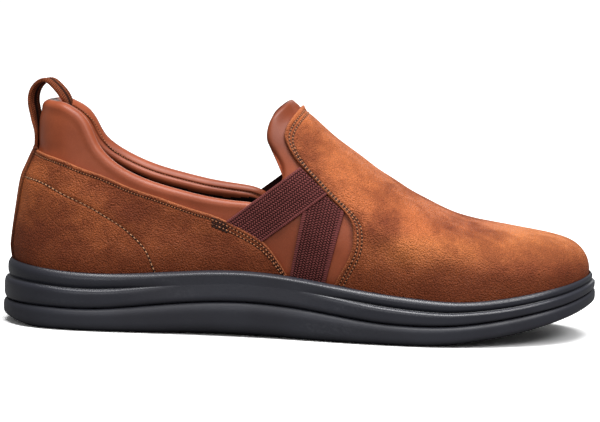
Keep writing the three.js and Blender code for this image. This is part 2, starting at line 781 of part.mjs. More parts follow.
function upperGeometry() {
  const outer = [];
  const inner = [];
  for (const one of UPPER_RING) {
    const pad = padAt(one.collar);
    const outerColumn = [];
    const innerColumn = [];
    for (const { side, turn, level, away, shift } of one.places) {
      const swell = Math.cos((clamp(away / padDepthAt(one.collar), 0, 1) * Math.PI) / 2) ** 2;
      const wall = mix(LINER_WALL, pad, swell);
      const round = Math.sqrt(1 - (1 - clamp(away / (pad / 2), 0, 1)) ** 2);
      const drawIn = (pad / 2) * (1 - round);
      outerColumn.push(layerPoint(side, turn, level, shift - drawIn));
      innerColumn.push(layerPoint(side, turn, level, shift + drawIn - wall));
    }
    outer.push(outerColumn);
    inner.push(innerColumn);
  }
  return walledGeometry(outer, inner, { start: true });
}

// Whole form of the upper grown by an offset, with the facets of the liner. The smaller
// form starts lower, so that a band between two forms is open underneath.
function grownForm(offset, drop) {
  const rings = [];
  for (let k = 0; k < UPPER_RING[0].places.length; k++) {
    rings.push(
      UPPER_RING.map(({ places }) => {
        const { side, turn, level, shift } = places[k];
        const point = layerPoint(side, turn, level, shift + offset);
        if (k === 0) point.z -= drop;
        return point;
      }),
    );
  }
  return toManifold(ringSolid(rings));
}

// Body as wide as the shoe, over an outline drawn in the side view.
function sideCutter(outline) {
  const reach = BALL_WIDTH;
  const shape = new THREE.Shape(outline.map(([x, z]) => new THREE.Vector2(x, z)));
  const cutter = new THREE.ExtrudeGeometry(shape, { depth: 2 * reach, bevelEnabled: false, steps: 1 });
  cutter.rotateX(Math.PI / 2);
  cutter.translate(0, reach, 0);
  cutter.deleteAttribute('normal');
  cutter.deleteAttribute('uv');
  return toManifold(mergeVertices(cutter));
}

const suedeBand = grownForm(OVERLAY, 0).subtract(grownForm(FIT_GAP, CUP_DEPTH / 4));
const BEYOND = 20; // how far a cutting outline runs past the shoe

const QUARTER_POINTS = 20;
function quarterGeometry() {
  const outline = [];
  for (let i = 0; i <= QUARTER_POINTS; i++) {
    const { turn, level } = quarterEdge('lateral', i / QUARTER_POINTS);
    const point = linerPoint('lateral', turn, level);
    outline.push([point.x, point.z]);
  }
  const front = outline[QUARTER_POINTS][0];
  const back = -SOLE_LENGTH / 2 - BEYOND;
  outline.push([front + 1, 0], [back, 0], [back, outline[0][1]]);
  return fromManifold(wholeBody(suedeBand.intersect(sideCutter(outline))));
}

const VAMP_POINTS = 18;
function vampCutter() {
  const low = VAMP_LINE[0][0];
  const high = VAMP_LINE[VAMP_LINE.length - 1][0];
  const outline = [];
  for (let i = 0; i <= VAMP_POINTS; i++) {
    const share = mix(low, high, i / VAMP_POINTS);
    outline.push([SOLE_LENGTH * (vampStation(share) - 0.5), riseHeight(share)]);
  }
  const ahead = SOLE_LENGTH / 2 + BEYOND;
  const [topX, topZ] = outline[VAMP_POINTS];
  outline.push([topX + BEYOND / 2, topZ + BEYOND], [ahead, topZ + BEYOND], [ahead, 0], [outline[0][0], 0]);
  return sideCutter(outline);
}

const vampBody = vampCutter();
const vampGeometry = () => fromManifold(wholeBody(suedeBand.intersect(vampBody)));

// Grid of places moved to one face of a layer.
const layerGrid = (places, offset) =>
  places.map((row) => row.map((place) => layerPoint(place.side, place.turn, place.level, offset)));

const ELASTIC_FACES = [STRAP_SEAT + ELASTIC, STRAP_SEAT];

// Place moved in the surface by a distance towards the toe, or up.
const SIDE_CLIMB = UPPER_RISE * 1.2; // length of the liner's column from belly to ridge at the waist
const turnLength = (turn) => SOLE_LENGTH * (Math.PI / 2) * Math.sin(Math.PI * turn);
const nudged = (place, distance) => ({ ...place, turn: place.turn + distance / turnLength(place.turn) });
const raised = (place, distance) => ({ ...place, level: place.level + distance / SIDE_CLIMB });
const between = (a, b, share) => ({
  side: a.side,
  turn: mix(a.turn, b.turn, share),
  level: mix(a.level, b.level, share),
});

// Place on the quarter's edge at a station.
function onQuarterEdge(side, station) {
  let low = 0;
  let high = 1;
  for (let pass = 0; pass < 30; pass++) {
    const middle = (low + high) / 2;
    if (quarterEdge(side, middle).turn < stationTurn(station)) low = middle;
    else high = middle;
  }
  const edge = quarterEdge(side, low);
  return { side, turn: edge.turn, level: edge.level };
}

const STRAP_LENGTHWISE = 8;
const STRAP_ACROSS = 5;
const SIDE_CLEAR = FIT_GAP * 2.2; // gap along a slanting edge, measured level
function longStrapPlaces(side) {
  const places = [];
  for (let i = 0; i <= STRAP_ACROSS; i++) {
    const across = i / STRAP_ACROSS;
    const rear = raised(
      nudged(onQuarterEdge(side, mix(LONG_STRAP.rearLow, LONG_STRAP.rearHigh, across)), SIDE_CLEAR),
      SIDE_CLEAR,
    );
    const edge = vampEdge(side, mix(LONG_STRAP.frontLow, LONG_STRAP.frontHigh, across));
    const front = nudged({ side, ...edge }, -SIDE_CLEAR);
    const row = [];
    for (let j = 0; j <= STRAP_LENGTHWISE; j++) row.push(between(rear, front, j / STRAP_LENGTHWISE));
    places.push(row);
  }
  return places;
}

function shortStrapPlaces(side) {
  const lower = longStrapPlaces(side)[0];
  const seat = (station) => {
    const turn = stationTurn(station);
    let k = 1;
    while (k < lower.length - 1 && lower[k].turn < turn) k++;
    const share = (turn - lower[k - 1].turn) / (lower[k].turn - lower[k - 1].turn);
    return raised(between(lower[k - 1], lower[k], share), -SIDE_CLEAR);
  };
  const corner = turnStation(lower[lower.length - 1].turn);
  const { footRear, footFront, topRear, underLong, frontHeight } = SHORT_STRAP;
  const topAt = (across) => {
    if (across <= underLong) return seat(mix(topRear, corner, across / underLong));
    const share = (across - underLong) / (1 - underLong);
    const height = mix(LONG_STRAP.frontLow, frontHeight, share);
    return nudged({ side, ...vampEdge(side, height) }, -SIDE_CLEAR);
  };
  const places = [];
  for (let i = 0; i <= STRAP_ACROSS; i++) {
    const across = i / STRAP_ACROSS;
    const top = topAt(across);
    const foot = { side, turn: stationTurn(mix(footRear, footFront, across)), level: -1 };
    const row = [];
    for (let j = 0; j <= STRAP_LENGTHWISE; j++) row.push(between(foot, top, j / STRAP_LENGTHWISE));
    places.push(row);
  }
  return places;
}

function strapGeometry(places) {
  const [outer, inner] = ELASTIC_FACES.map((offset) => layerGrid(places, offset));
  const strap = walledGeometry(outer, inner, { first: true, last: true, start: true, end: true });
  const vampClear = vampBody.translate([-1.5 * FIT_GAP, 0, 0]);
  return fromManifold(wholeBody(toManifold(strap).subtract(vampClear)));
}

// Pull loop: a tape from the quarter's top edge up the back of the collar, over, and
// down inside it.
function loopGeometry() {
  const collarTop = riseHeight(COLLAR_LINE[0][2]);
  const layerAt = (height, offset) => layerPoint('lateral', 0, levelAt('lateral', 0, height), offset);
  const behind = (share) => layerAt(riseHeight(QUARTER_LINE[0][2] + share), FIT_GAP + TAPE_THICKNESS / 2);
  const inside = (drop) => layerAt(collarTop - drop, -COLLAR_PAD - LOOP_SEAT - TAPE_THICKNESS / 2);
  const foot = behind(LOOP_FOOT);
  const low = behind(LOOP_REST);
  const crown = collarTop + LOOP_HEIGHT;
  const rearX = foot.x - LOOP_BULGE;
  const middleX = layerAt(collarTop, 0).x + COLLAR_PAD / 2;
  const free = (x, share) => new THREE.Vector3(x, 0, mix(low.z, crown, share));
  const route = [
    foot,
    low,
    free(mix(low.x, rearX, 0.6), 0.35),
    ...LOOP_LINE.map(([share, height]) => free(rearX + LOOP_SPAN * share, height)),
    inside(0).add(new THREE.Vector3(0.3, 0, 1)),
    inside(LOOP_TAIL / 2),
    inside(LOOP_TAIL),
  ];
  const curve = new THREE.CatmullRomCurve3(route, false, 'centripetal');
  const steps = 26;
  const rows = [];
  for (let i = 0; i <= steps; i++) {
    const place = curve.getPointAt(i / steps);
    const heading = curve.getTangentAt(i / steps);
    const face = new THREE.Vector3(-heading.z, 0, heading.x);
    const rise = clamp((place.z - collarTop + 2) / (LOOP_HEIGHT + 2), 0, 1);
    const lift = rise * rise * (3 - 2 * rise);
    const angle = THREE.MathUtils.degToRad(LOOP_TURN) * lift * mix(1, 0.4, i / steps);
    const corner = (out, across) => {
      const spot = place.clone().addScaledVector(face, (out * TAPE_THICKNESS) / 2);
      spot.y += (across * TAPE_WIDTH) / 2;
      const dx = spot.x - middleX;
      return new THREE.Vector3(
        middleX + dx * Math.cos(angle) - spot.y * Math.sin(angle),
        dx * Math.sin(angle) + spot.y * Math.cos(angle),
        spot.z,
      );
    };
    rows.push([corner(1, -1), corner(1, 1), corner(-1, 1), corner(-1, -1), corner(1, -1)]);
  }
  const skin = new Skin();
  skin.sheet(rows);
  skin.quad(...rows[0].slice(0, 4).reverse());
  skin.quad(...rows[steps].slice(0, 4));
  return skin.geometry();
}

// The assembly
const shoe = new THREE.Group();
function addPiece(name, geometry, material) {
  const mesh = new THREE.Mesh(geometry, material);
  mesh.name = name;
  shoe.add(mesh);
}

addPiece('outsole', outsoleGeometry(), MATERIALS.rubber);
addPiece('midsole', midsoleGeometry(), MATERIALS.foam);
addPiece('insole', insoleGeometry(), MATERIALS.footbed);
addPiece('upper', upperGeometry(), MATERIALS.leather);
addPiece('vamp', vampGeometry(), MATERIALS.suede);
addPiece('quarter', quarterGeometry(), MATERIALS.suede);
for (const side of ['lateral', 'medial']) {
  addPiece(`long_strap_${side}`, strapGeometry(longStrapPlaces(side)), MATERIALS.elastic);
  addPiece(`short_strap_${side}`, strapGeometry(shortStrapPlaces(side)), MATERIALS.elastic);
}
addPiece('pull_loop', loopGeometry(), MATERIALS.tape);

export default shoe;
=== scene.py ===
"""Slip-on sneaker: the finish of a right shoe that stands empty on its sole."""

import math

import bmesh
import bpy
import numpy as np
from mathutils import Matrix, Vector


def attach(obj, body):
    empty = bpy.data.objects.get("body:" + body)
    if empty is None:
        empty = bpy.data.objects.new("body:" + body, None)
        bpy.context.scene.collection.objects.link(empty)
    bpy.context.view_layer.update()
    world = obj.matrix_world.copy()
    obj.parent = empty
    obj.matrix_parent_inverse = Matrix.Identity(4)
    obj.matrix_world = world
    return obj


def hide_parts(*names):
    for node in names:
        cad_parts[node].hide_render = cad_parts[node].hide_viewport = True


bl_info = {
    "name": "Slip-on sneaker",
    "version": (1, 0, 0),
    "blender": (4, 5, 0),
    "location": "View3D > Sidebar > Shoe",
    "description": "Builds the leather, suede, elastic and sole of a slip-on sneaker round its frame",
    "category": "Object",
}

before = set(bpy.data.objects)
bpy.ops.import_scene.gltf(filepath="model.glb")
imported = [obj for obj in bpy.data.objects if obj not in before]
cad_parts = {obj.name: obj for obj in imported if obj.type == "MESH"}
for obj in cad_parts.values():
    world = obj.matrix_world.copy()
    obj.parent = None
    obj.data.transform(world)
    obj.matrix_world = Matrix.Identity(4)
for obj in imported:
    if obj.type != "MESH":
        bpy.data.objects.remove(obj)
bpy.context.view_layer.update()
BODY = "root"

MM = 0.001

# The shoe's own sizes, in metres
LENGTH = 270 * MM  # sole, heel to toe
BALL_WIDTH = 97 * MM  # sole across the ball of the foot
STACK = 28 * MM  # floor to the rim of the midsole, near the heel
INSTEP = 103 * MM  # floor to the top of the instep tab
CUP_DEPTH = 8 * MM  # rim of the midsole down to its footbed
CUP_FLOOR = 2 * MM  # least thickness of the midsole under the footbed
LEDGE = 4.5 * MM  # widest line of the sole in to the suede
SUEDE = 1.5 * MM  # thickness of vamp and quarter
LINER_WALL = 2 * MM  # thickness of the smooth leather away from its edges
COLLAR_PAD = 9 * MM  # thickness of the padded collar at the heel
COLLAR_DEPTH = 26 * MM  # padding's reach below the collar's top line
FIT_GAP = 0.3 * MM  # clearance between neighbouring pieces

RISE = INSTEP - STACK
OVERLAY = FIT_GAP + SUEDE
TOE_RUN, TOE_REACH = 75 * MM, 34 * MM
HEEL_RUN, HEEL_REACH = 60 * MM, 32 * MM
TIP_SIDE = 0.055
LEAN_POWER = 2.2  # a column leans from its foot to its top by this power of the height

# Lines and rows of the meshes
EDGE_LINES = (161, 120)  # along collar and tab, on the line of the open edge
UPPER_LINES = (150, 85, 55)  # columns of the upper under collar, tab and ridge
UPPER_ROWS = (56, 24)  # over the face and round the rolled edge
QUARTER_LINES = 170  # on each side
SUEDE_ROWS = (83, 19, 11)  # over the face, near the edge and round it
OUTSOLE_LINES, MIDSOLE_LINES, FOOTBED_LINES = 400, 380, 200
LOOP_LINES, LOOP_ROUND = 210, 96
BACKSTAY_GRID = (120, 49)
STRAP_GRID = (0.24 * MM, 0.22 * MM)  # along and across, as a size
HALVINGS = 26

# Sole outline: along, lateral and medial half widths as shares of the ball width.
OUTLINE = (
    (0.0, 0.0, 0.0),
    (0.022, 0.19, 0.19),
    (0.07, 0.3, 0.295),
    (0.15, 0.352, 0.343),
    (0.25, 0.358, 0.333),
    (0.36, 0.365, 0.295),
    (0.47, 0.398, 0.285),
    (0.58, 0.455, 0.345),
    (0.68, 0.491, 0.437),
    (0.77, 0.482, 0.493),
    (0.86, 0.412, 0.459),
    (0.93, 0.31, 0.375),
    (0.98, 0.15, 0.245),
    (1.0, -TIP_SIDE, TIP_SIDE),
)

# Lines round the sole: along, underside, split, upper groove and rim, as shares of the stack.
SOLE_LINES = (
    (0.0, 0.1, 0.375, 0.732, 1.03),
    (0.03, 0.04, 0.372, 0.725, 1.0),
    (0.07, 0.0, 0.372, 0.707, 0.968),
    (0.14, 0.0, 0.363, 0.675, 0.929),
    (0.2, 0.0, 0.396, 0.696, 0.932),
    (0.26, 0.006, 0.46, 0.75, 0.968),
    (0.34, 0.036, 0.536, 0.818, 1.029),
    (0.41, 0.04, 0.564, 0.85, 1.05),
    (0.47, 0.025, 0.543, 0.82, 1.018),
    (0.55, 0.0, 0.461, 0.736, 0.921),
    (0.633, 0.0, 0.361, 0.625, 0.811),
    (0.7, 0.0, 0.332, 0.564, 0.75),
    (0.755, 0.029, 0.343, 0.543, 0.714),
    (0.8, 0.086, 0.382, 0.568, 0.721),
    (0.86, 0.18, 0.468, 0.632, 0.782),
    (0.92, 0.32, 0.579, 0.739, 0.879),
    (0.96, 0.43, 0.671, 0.825, 0.955),
    (1.0, 0.57, 0.8, 0.93, 1.05),
)

# Sections of the upper: along, ledge as a share of LEDGE, belly height as a share of the
# rise over the stack, tuck under the belly as a share of LEDGE, roundness power.
SECTIONS = (
    (0.0, 0.78, 0.11, 0.8, 2.0),
    (0.15, 0.95, 0.12, 0.7, 2.0),
    (0.4, 1.0, 0.135, 0.65, 2.0),
    (0.55, 1.0, 0.13, 0.65, 2.0),
    (0.7, 1.0, 0.08, 0.55, 2.15),
    (0.85, 0.9, 0.035, 0.45, 2.6),
    (0.95, 0.74, 0.025, 0.3, 3.6),
    (1.0, 0.65, 0.033, 0.2, 4.2),
)

# Ridge of the upper over its suede: along, height as a share of the rise over the stack.
RIDGE = (
    (0.0, 1.5),
    (0.2, 1.38),
    (0.3, 1.28),
    (0.4, 1.17),
    (0.45, 1.1),
    (0.493, 0.99),
    (0.528, 0.881),
    (0.562, 0.779),
    (0.597, 0.69),
    (0.631, 0.605),
    (0.665, 0.528),
    (0.7, 0.454),
    (0.734, 0.392),
    (0.768, 0.345),
    (0.802, 0.313),
    (0.85, 0.282),
    (0.9, 0.257),
    (0.95, 0.244),
    (1.0, 0.243),
)

# Plan line under the ridge: along, side as a share of the ball width, medial positive.
SPINE = ((0.0, 0.0), (0.35, -0.01), (0.6, 0.005), (0.8, 0.03), (1.0, TIP_SIDE))

# Forward set of the heel curve: height as a share of the rise, set as a share of HEEL_REACH.
HEEL_CURVE = (
    (0.09, 0.0),
    (0.32, 0.053),
    (0.49, 0.085),
    (0.6, 0.16),
    (0.69, 0.212),
    (0.755, 0.185),
    (0.88, 0.14),
    (1.0, 0.137),
)
# How much of that set acts at each station.
HEEL_FADE = ((0.0, 1.0), (0.2, 1.0), (0.34, 0.0), (1.0, 0.0))

# Edges drawn on the upper: station of the column's foot, station of its top, height of the
# top as a share of the rise over the stack.
COLLAR_LINE = (
    (0.0, 0.0, 0.985),
    (0.045, 0.045, 0.987),
    (0.089, 0.089, 0.966),
    (0.125, 0.125, 0.915),
    (0.145, 0.144, 0.845),
    (0.16, 0.157, 0.76),
    (0.182, 0.18, 0.682),
    (0.214, 0.214, 0.612),
    (0.258, 0.258, 0.555),
    (0.3, 0.3, 0.516),
    (0.347, 0.347, 0.478),
    (0.394, 0.394, 0.452),
    (0.425, 0.425, 0.433),
    (0.449, 0.449, 0.4),
)
# The outer side of a collar lies lower than the inner side, and its shoulder stands further
# forward: shifts of each row of the table, in station and height share.
COLLAR_NEAR = (
    (0, 0),
    (0, 0),
    (-0.002, 0),
    (-0.004, 0),
    (-0.003, 0),
    (0, -0.006),
    (0, -0.012),
    (0, -0.02),
    (0, -0.026),
    (0, -0.028),
    (0, -0.026),
    (0, -0.02),
    (0, -0.01),
    (0, 0),
)
COLLAR_FAR = (
    (0, 0),
    (-0.003, 0),
    (-0.009, 0),
    (-0.01, 0),
    (-0.009, 0),
    (-0.006, 0.004),
    (-0.003, 0.01),
    (0, 0.013),
    (0, 0.013),
    (0, 0.015),
    (0, 0.018),
    (0, 0.022),
    (0, 0.018),
    (0, 0),
)
TAB_LINE = (
    (0.449, 0.449, 0.4),
    (0.462, 0.463, 0.51),
    (0.475, 0.468, 0.63),
    (0.488, 0.454, 0.723),
    (0.5, 0.4415, 0.8),
    (0.512, 0.4415, 0.862),
    (0.524, 0.4485, 0.93),
    (0.537, 0.4635, 0.985),
    (0.55, 0.483, 1.035),
)
# Columns in front of the tab, up to the ridge: station of the foot and of the top.
RIDGE_COLUMNS = (
    (0.55, 0.483),
    (0.6, 0.544),
    (0.66, 0.625),
    (0.72, 0.705),
    (0.78, 0.778),
    (1.0, 1.0),
)
QUARTER_LINE = (
    (0.0, 0.0, 0.687),
    (0.085, 0.085, 0.639),
    (0.129, 0.129, 0.597),
    (0.167, 0.167, 0.561),
    (0.221, 0.221, 0.489),
    (0.271, 0.271, 0.435),
    (0.322, 0.322, 0.377),
    (0.356, 0.356, 0.344),
    (0.382, 0.382, 0.309),
    (0.414, 0.414, 0.256),
    (0.443, 0.443, 0.193),
    (0.4635, 0.4625, 0.11),
    (0.4785, 0.4765, 0.032),
    (0.4825, 0.4805, 0.004),
)
# Rear edge of the vamp: height as a share of the rise over the stack, station.
VAMP_LINE = (
    (-0.12, 0.556),
    (-0.02, 0.567),
    (0.095, 0.583),
    (0.183, 0.592),
    (0.271, 0.5926),
    (0.343, 0.587),
    (0.392, 0.576),
    (0.491, 0.5456),
    (0.589, 0.518),
    (0.655, 0.499),
    (0.753, 0.479),
    (0.808, 0.4726),
    (0.875, 0.476),
    (0.94, 0.488),
    (1.0, 0.503),
)


# Small mathematics
def mix(a, b, share):
    return a + (b - a) * share


def smooth(share):
    share = np.clip(share, 0, 1)
    return share * share * (3 - 2 * share)


def bell(distance, width):
    return np.exp(-((distance / width) ** 2))


def rounded(away, radius):
    """Height share of a quarter round at a distance from its edge."""
    return np.sqrt(np.clip(1 - (1 - np.clip(away / radius, 0, 1)) ** 2, 0, 1))


def floats(*values):
    """The values as float arrays of one shape."""
    return np.broadcast_arrays(*(np.asarray(v, float) for v in values))


def steps_of(points):
    """Distance from each point of a line to the next."""
    return np.linalg.norm(np.diff(points, axis=0), axis=1)


def summed(steps):
    """Running total of steps, from 0."""
    return np.concatenate(([0], np.cumsum(steps)))


def between(at, run, points):
    """Points of a line at given places along it."""
    return np.stack([np.interp(at, run, column) for column in points.T], axis=-1)


def last_turn(before, shape, high=1.0, halvings=HALVINGS):
    """Turn up to which a test holds, found by halving."""
    low, high = np.zeros(shape), np.full(shape, high)
    for _ in range(halvings):
        middle = (low + high) / 2
        short = before(middle)
        low, high = np.where(short, middle, low), np.where(short, high, middle)
    return (low + high) / 2


def station_turn(station):
    return np.arccos(1 - 2 * np.clip(station, 0, 1)) / np.pi


def turn_station(turn):
    return (1 - np.cos(np.pi * turn)) / 2


class Natural:
    """Natural cubic spline through (x, y) pairs."""

    def __init__(self, x, y):
        self.x, self.y = np.asarray(x, float), np.asarray(y, float)
        count = len(self.x)
        step = np.diff(self.x)
        slope = np.diff(self.y) / step
        matrix = np.eye(count)
        right = np.zeros(count)
        for i in range(1, count - 1):
            matrix[i, i - 1 : i + 2] = step[i - 1], 2 * (step[i - 1] + step[i]), step[i]
            right[i] = 6 * (slope[i] - slope[i - 1])
        self.bend = np.linalg.solve(matrix, right)

    def __call__(self, at):
        at = np.clip(at, self.x[0], self.x[-1])
        k = np.clip(np.searchsorted(self.x, at, side="left"), 1, len(self.x) - 1)
        h = self.x[k] - self.x[k - 1]
        a = (self.x[k] - at) / h
        b = 1 - a
        lift = ((a**3 - a) * self.bend[k - 1] + (b**3 - b) * self.bend[k]) * h * h
        return a * self.y[k - 1] + b * self.y[k] + lift / 6


class Steady:
    """Spline that never overshoots its rows, so that flat stretches stay flat."""

    def __init__(self, x, y):
        self.x, self.y = np.asarray(x, float), np.asarray(y, float)
        slope = np.diff(self.y) / np.diff(self.x)
        total = slope[:-1] + slope[1:]
        same = slope[:-1] * slope[1:] > 0
        middle = np.where(same, 2 * slope[:-1] * slope[1:] / np.where(same, total, 1), 0)
        self.tangent = np.concatenate(([slope[0]], middle, [slope[-1]]))

    def __call__(self, at):
        at = np.clip(at, self.x[0], self.x[-1])
        k = np.clip(np.searchsorted(self.x, at, side="left"), 1, len(self.x) - 1)
        h = self.x[k] - self.x[k - 1]
        t = (at - self.x[k - 1]) / h
        rise = self.y[k - 1] * (1 + 2 * t) * (1 - t) ** 2 + self.y[k] * t * t * (3 - 2 * t)
        return rise + h * t * (1 - t) * (self.tangent[k - 1] * (1 - t) - self.tangent[k] * t)


def from_table(kind, table, column):
    rows = np.array(table)
    return kind(rows[:, 0], rows[:, column])


# The sole's plan and lines
OUTLINE_TURNS = station_turn(np.array(OUTLINE)[:, 0])
HALF_WIDTH = {
    -1: Natural(OUTLINE_TURNS, np.array(OUTLINE)[:, 1]),
    1: Natural(OUTLINE_TURNS, np.array(OUTLINE)[:, 2]),
}
SOLE_LINE = {
    "bottom": from_table(Steady, SOLE_LINES, 1),
    "split": from_table(Natural, SOLE_LINES, 2),
    "groove": from_table(Natural, SOLE_LINES, 3),
    "rim": from_table(Natural, SOLE_LINES, 4),
}
SECTION = {
    "ledge": from_table(Steady, SECTIONS, 1),
    "belly": from_table(Steady, SECTIONS, 2),
    "tuck": from_table(Steady, SECTIONS, 3),
    "power": from_table(Steady, SECTIONS, 4),
}
RIDGE_SHARE = from_table(Natural, RIDGE, 1)
SPINE_SHARE = from_table(Natural, SPINE, 1)
HEEL_SHARE = from_table(Steady, HEEL_CURVE, 1)
HEEL_WEIGHT = from_table(Steady, HEEL_FADE, 1)
VAMP_STATION = from_table(Natural, VAMP_LINE, 1)
RIDGE_TOP = Steady(station_turn(np.array(RIDGE_COLUMNS)[:, 0]), station_turn(np.array(RIDGE_COLUMNS)[:, 1]))


def line_height(line, station):
    return STACK * SOLE_LINE[line](station)


def footbed_height(station):
    return np.maximum(line_height("rim", station) - CUP_DEPTH, line_height("split", station) + CUP_FLOOR)


def rise_height(share):
    return STACK + RISE * share


def ledge_at(station):
    return LEDGE * SECTION["ledge"](station)


def tuck_at(station):
    return LEDGE * SECTION["tuck"](station)


def belly_height(station):
    return rise_height(SECTION["belly"](station))


def feather_height(station):
    return footbed_height(station) + FIT_GAP


def folded(hand, turn):
    """Turns past the heel or the toe, brought back on the other side."""
    past = (turn < 0) | (turn > 1)
    turn = np.where(turn < 0, -turn, np.where(turn > 1, 2 - turn, turn))
    return np.where(past, -hand, hand), turn


def outline(hand, turn):
    hand, turn = folded(hand, turn)
    half = np.where(hand < 0, HALF_WIDTH[-1](turn), HALF_WIDTH[1](turn))
    return LENGTH * (turn_station(turn) - 0.5), hand * BALL_WIDTH * half


def inward(hand, turn):
    """Unit vector in plan that points into the shoe, square to the outline."""
    step = 1e-4
    x0, y0 = outline(hand, turn - step)
    x1, y1 = outline(hand, turn + step)
    size = np.hypot(x1 - x0, y1 - y0)
    return hand * (y1 - y0) / size, -hand * (x1 - x0) / size


HEEL_END = -LENGTH / 2 + float(ledge_at(0)) + OVERLAY
TOE_END = LENGTH / 2 - float(ledge_at(1)) - OVERLAY


def ridge_height(x):
    station = x / LENGTH + 0.5
    step = 0.004
    slope = RISE * (RIDGE_SHARE(station + step) - RIDGE_SHARE(station - step)) / (2 * step * LENGTH)
    return rise_height(RIDGE_SHARE(station)) - OVERLAY * np.hypot(1, slope)


def spine(turn):
    station = turn_station(turn)
    x = mix(HEEL_END, TOE_END, station)
    toe = np.clip((x - TOE_END + TOE_RUN) / TOE_RUN, 0, 1)
    heel = np.clip((HEEL_END + HEEL_RUN - x) / HEEL_RUN, 0, 1)
    return x - TOE_REACH * toe * toe + HEEL_REACH * heel * heel, BALL_WIDTH * SPINE_SHARE(station)


def liner(hand, turn, level):
    """Points on the liner's outer face. The turn runs from heel (0) to toe (1) along one
    side, the level from the feather edge (-1) over the belly (0) to the ridge (1)."""
    hand, turn, level = floats(hand, turn, level)
    hand = np.where(level > 1, -hand, hand)
    level = np.where(level > 1, 2 - level, level)
    hand, turn = folded(hand, turn)
    station = turn_station(turn)
    below = np.minimum(level, 0)
    edge_x, edge_y = outline(hand, turn)
    in_x, in_y = inward(hand, turn)
    inset = ledge_at(station) + OVERLAY + tuck_at(station) * below * below
    out_x, out_y = edge_x + in_x * inset, edge_y + in_y * inset
    belly = belly_height(station)
    spread = np.cos(np.clip(level, 0, 1) * np.pi / 2)
    spine_x, spine_y = spine(turn)
    x = mix(spine_x, out_x, spread)
    y = mix(spine_y, out_y, spread)
    climb = np.sqrt(np.maximum(0, 1 - spread ** SECTION["power"](station)))
    upper = mix(belly, ridge_height(x), climb)
    z = np.where(level > 0, upper, mix(feather_height(station), belly, 1 + below))
    backward = np.maximum(0, in_x) * HEEL_WEIGHT(station)
    x = x + HEEL_REACH * backward * HEEL_SHARE((z - STACK) / RISE)
    return np.stack((x, y, z), axis=-1)


def liner_normal(hand, turn, level):
    step = 1e-3
    along = liner(hand, turn + step, level) - liner(hand, turn - step, level)
    up = liner(hand, turn, level + step) - liner(hand, turn, level - step)
    normal = np.cross(along, up) * -np.asarray(hand, float)[..., None]
    normal[..., 2] = np.where(level < 0, 0, normal[..., 2])
    size = np.linalg.norm(normal, axis=-1, keepdims=True)
    x = liner(hand, turn, level)[..., 0]
    slope = (ridge_height(x + 0.5 * MM) - ridge_height(x - 0.5 * MM)) / MM
    crest = np.stack((-slope, np.zeros_like(slope), np.ones_like(slope)), axis=-1)
    crest /= np.linalg.norm(crest, axis=-1, keepdims=True)
    return np.where(size > 1e-12, normal / np.maximum(size, 1e-12), crest)


def layer(hand, turn, level, offset):
    """Points at an offset outwards from the liner."""
    hand, turn, level, offset = floats(hand, turn, level, offset)
    return liner(hand, turn, level) + liner_normal(hand, turn, level) * offset[..., None]


def level_at(hand, turn, height):
    """Level on a column at which the liner reaches a height."""
    hand, turn, height = floats(hand, turn, height)
    station = turn_station(turn)
    belly = belly_height(station)
    feather = feather_height(station)
    out_x = outline(hand, turn)[0] + inward(hand, turn)[0] * (ledge_at(station) + OVERLAY)
    spine_x = spine(turn)[0]
    spread = np.ones_like(height)
    for _ in range(8):
        top = ridge_height(mix(spine_x, out_x, spread))
        climb = np.clip((height - belly) / (top - belly), 0, 1)
        spread = (1 - climb * climb) ** (1 / SECTION["power"](station))
    upper = np.arccos(np.clip(spread, 0, 1)) * 2 / np.pi
    return np.where(height <= belly, (height - feather) / (belly - feather) - 1, upper)


def on_side(hand, x, z):
    """Turn and level of the liner's point at a place of the side view."""
    hand, x, z = floats(hand, x, z)
    turn = last_turn(lambda t: liner(hand, t, level_at(hand, t, z))[..., 0] < x, x.shape)
    return turn, level_at(hand, turn, z)


class DrawnEdge:
    """Edge over 0 to 1, from rows of foot station, top station and height share."""

    def __init__(self, rows):
        rows = np.array(rows)
        reach = summed(np.hypot(np.diff(rows[:, 1]) * LENGTH, np.diff(rows[:, 2]) * RISE))
        reach /= reach[-1]
        self.foot = Steady(reach, station_turn(rows[:, 0]))
        self.top = Natural(reach, station_turn(rows[:, 1]))
        self.height = Natural(reach, rows[:, 2])

    def __call__(self, hand, share):
        turn = np.clip(self.top(share), 0, 1)
        return self.foot(share), turn, level_at(hand, turn, rise_height(self.height(share)))


COLLAR_EDGES = {
    hand: DrawnEdge([(a + x, b + x, z + rise) for (a, b, z), (x, rise) in zip(COLLAR_LINE, shifts)])
    for hand, shifts in ((-1, COLLAR_NEAR), (1, COLLAR_FAR))
}


def collar_edge(hand, share):
    """Foot, top and level of the columns that end at the collar of one side."""
    return COLLAR_EDGES[hand](hand, share)


TAB_EDGE = DrawnEdge(TAB_LINE)
QUARTER_EDGE = DrawnEdge(QUARTER_LINE)


# Paths and columns on the liner
def distance_to_path(points, path):
    """Distance from each point to a polyline, with the place on it as a row number."""
    start, step = path[:-1], np.diff(path, axis=0)
    size = np.maximum((step**2).sum(axis=1), 1e-18)
    flat = points.reshape(-1, points.shape[-1])
    best, where = np.empty(len(flat)), np.empty(len(flat))
    for first in range(0, len(flat), 4000):
        part = flat[first : first + 4000]
        share = ((part[:, None] - start) * step).sum(axis=2) / size
        share = np.clip(share, 0, 1)
        away = np.linalg.norm(start + step * share[..., None] - part[:, None], axis=2)
        k = away.argmin(axis=1)
        rows = np.arange(len(part))
        best[first : first + 4000] = away[rows, k]
        where[first : first + 4000] = k + share[rows, k]
    return best.reshape(points.shape[:-1]), where.reshape(points.shape[:-1])


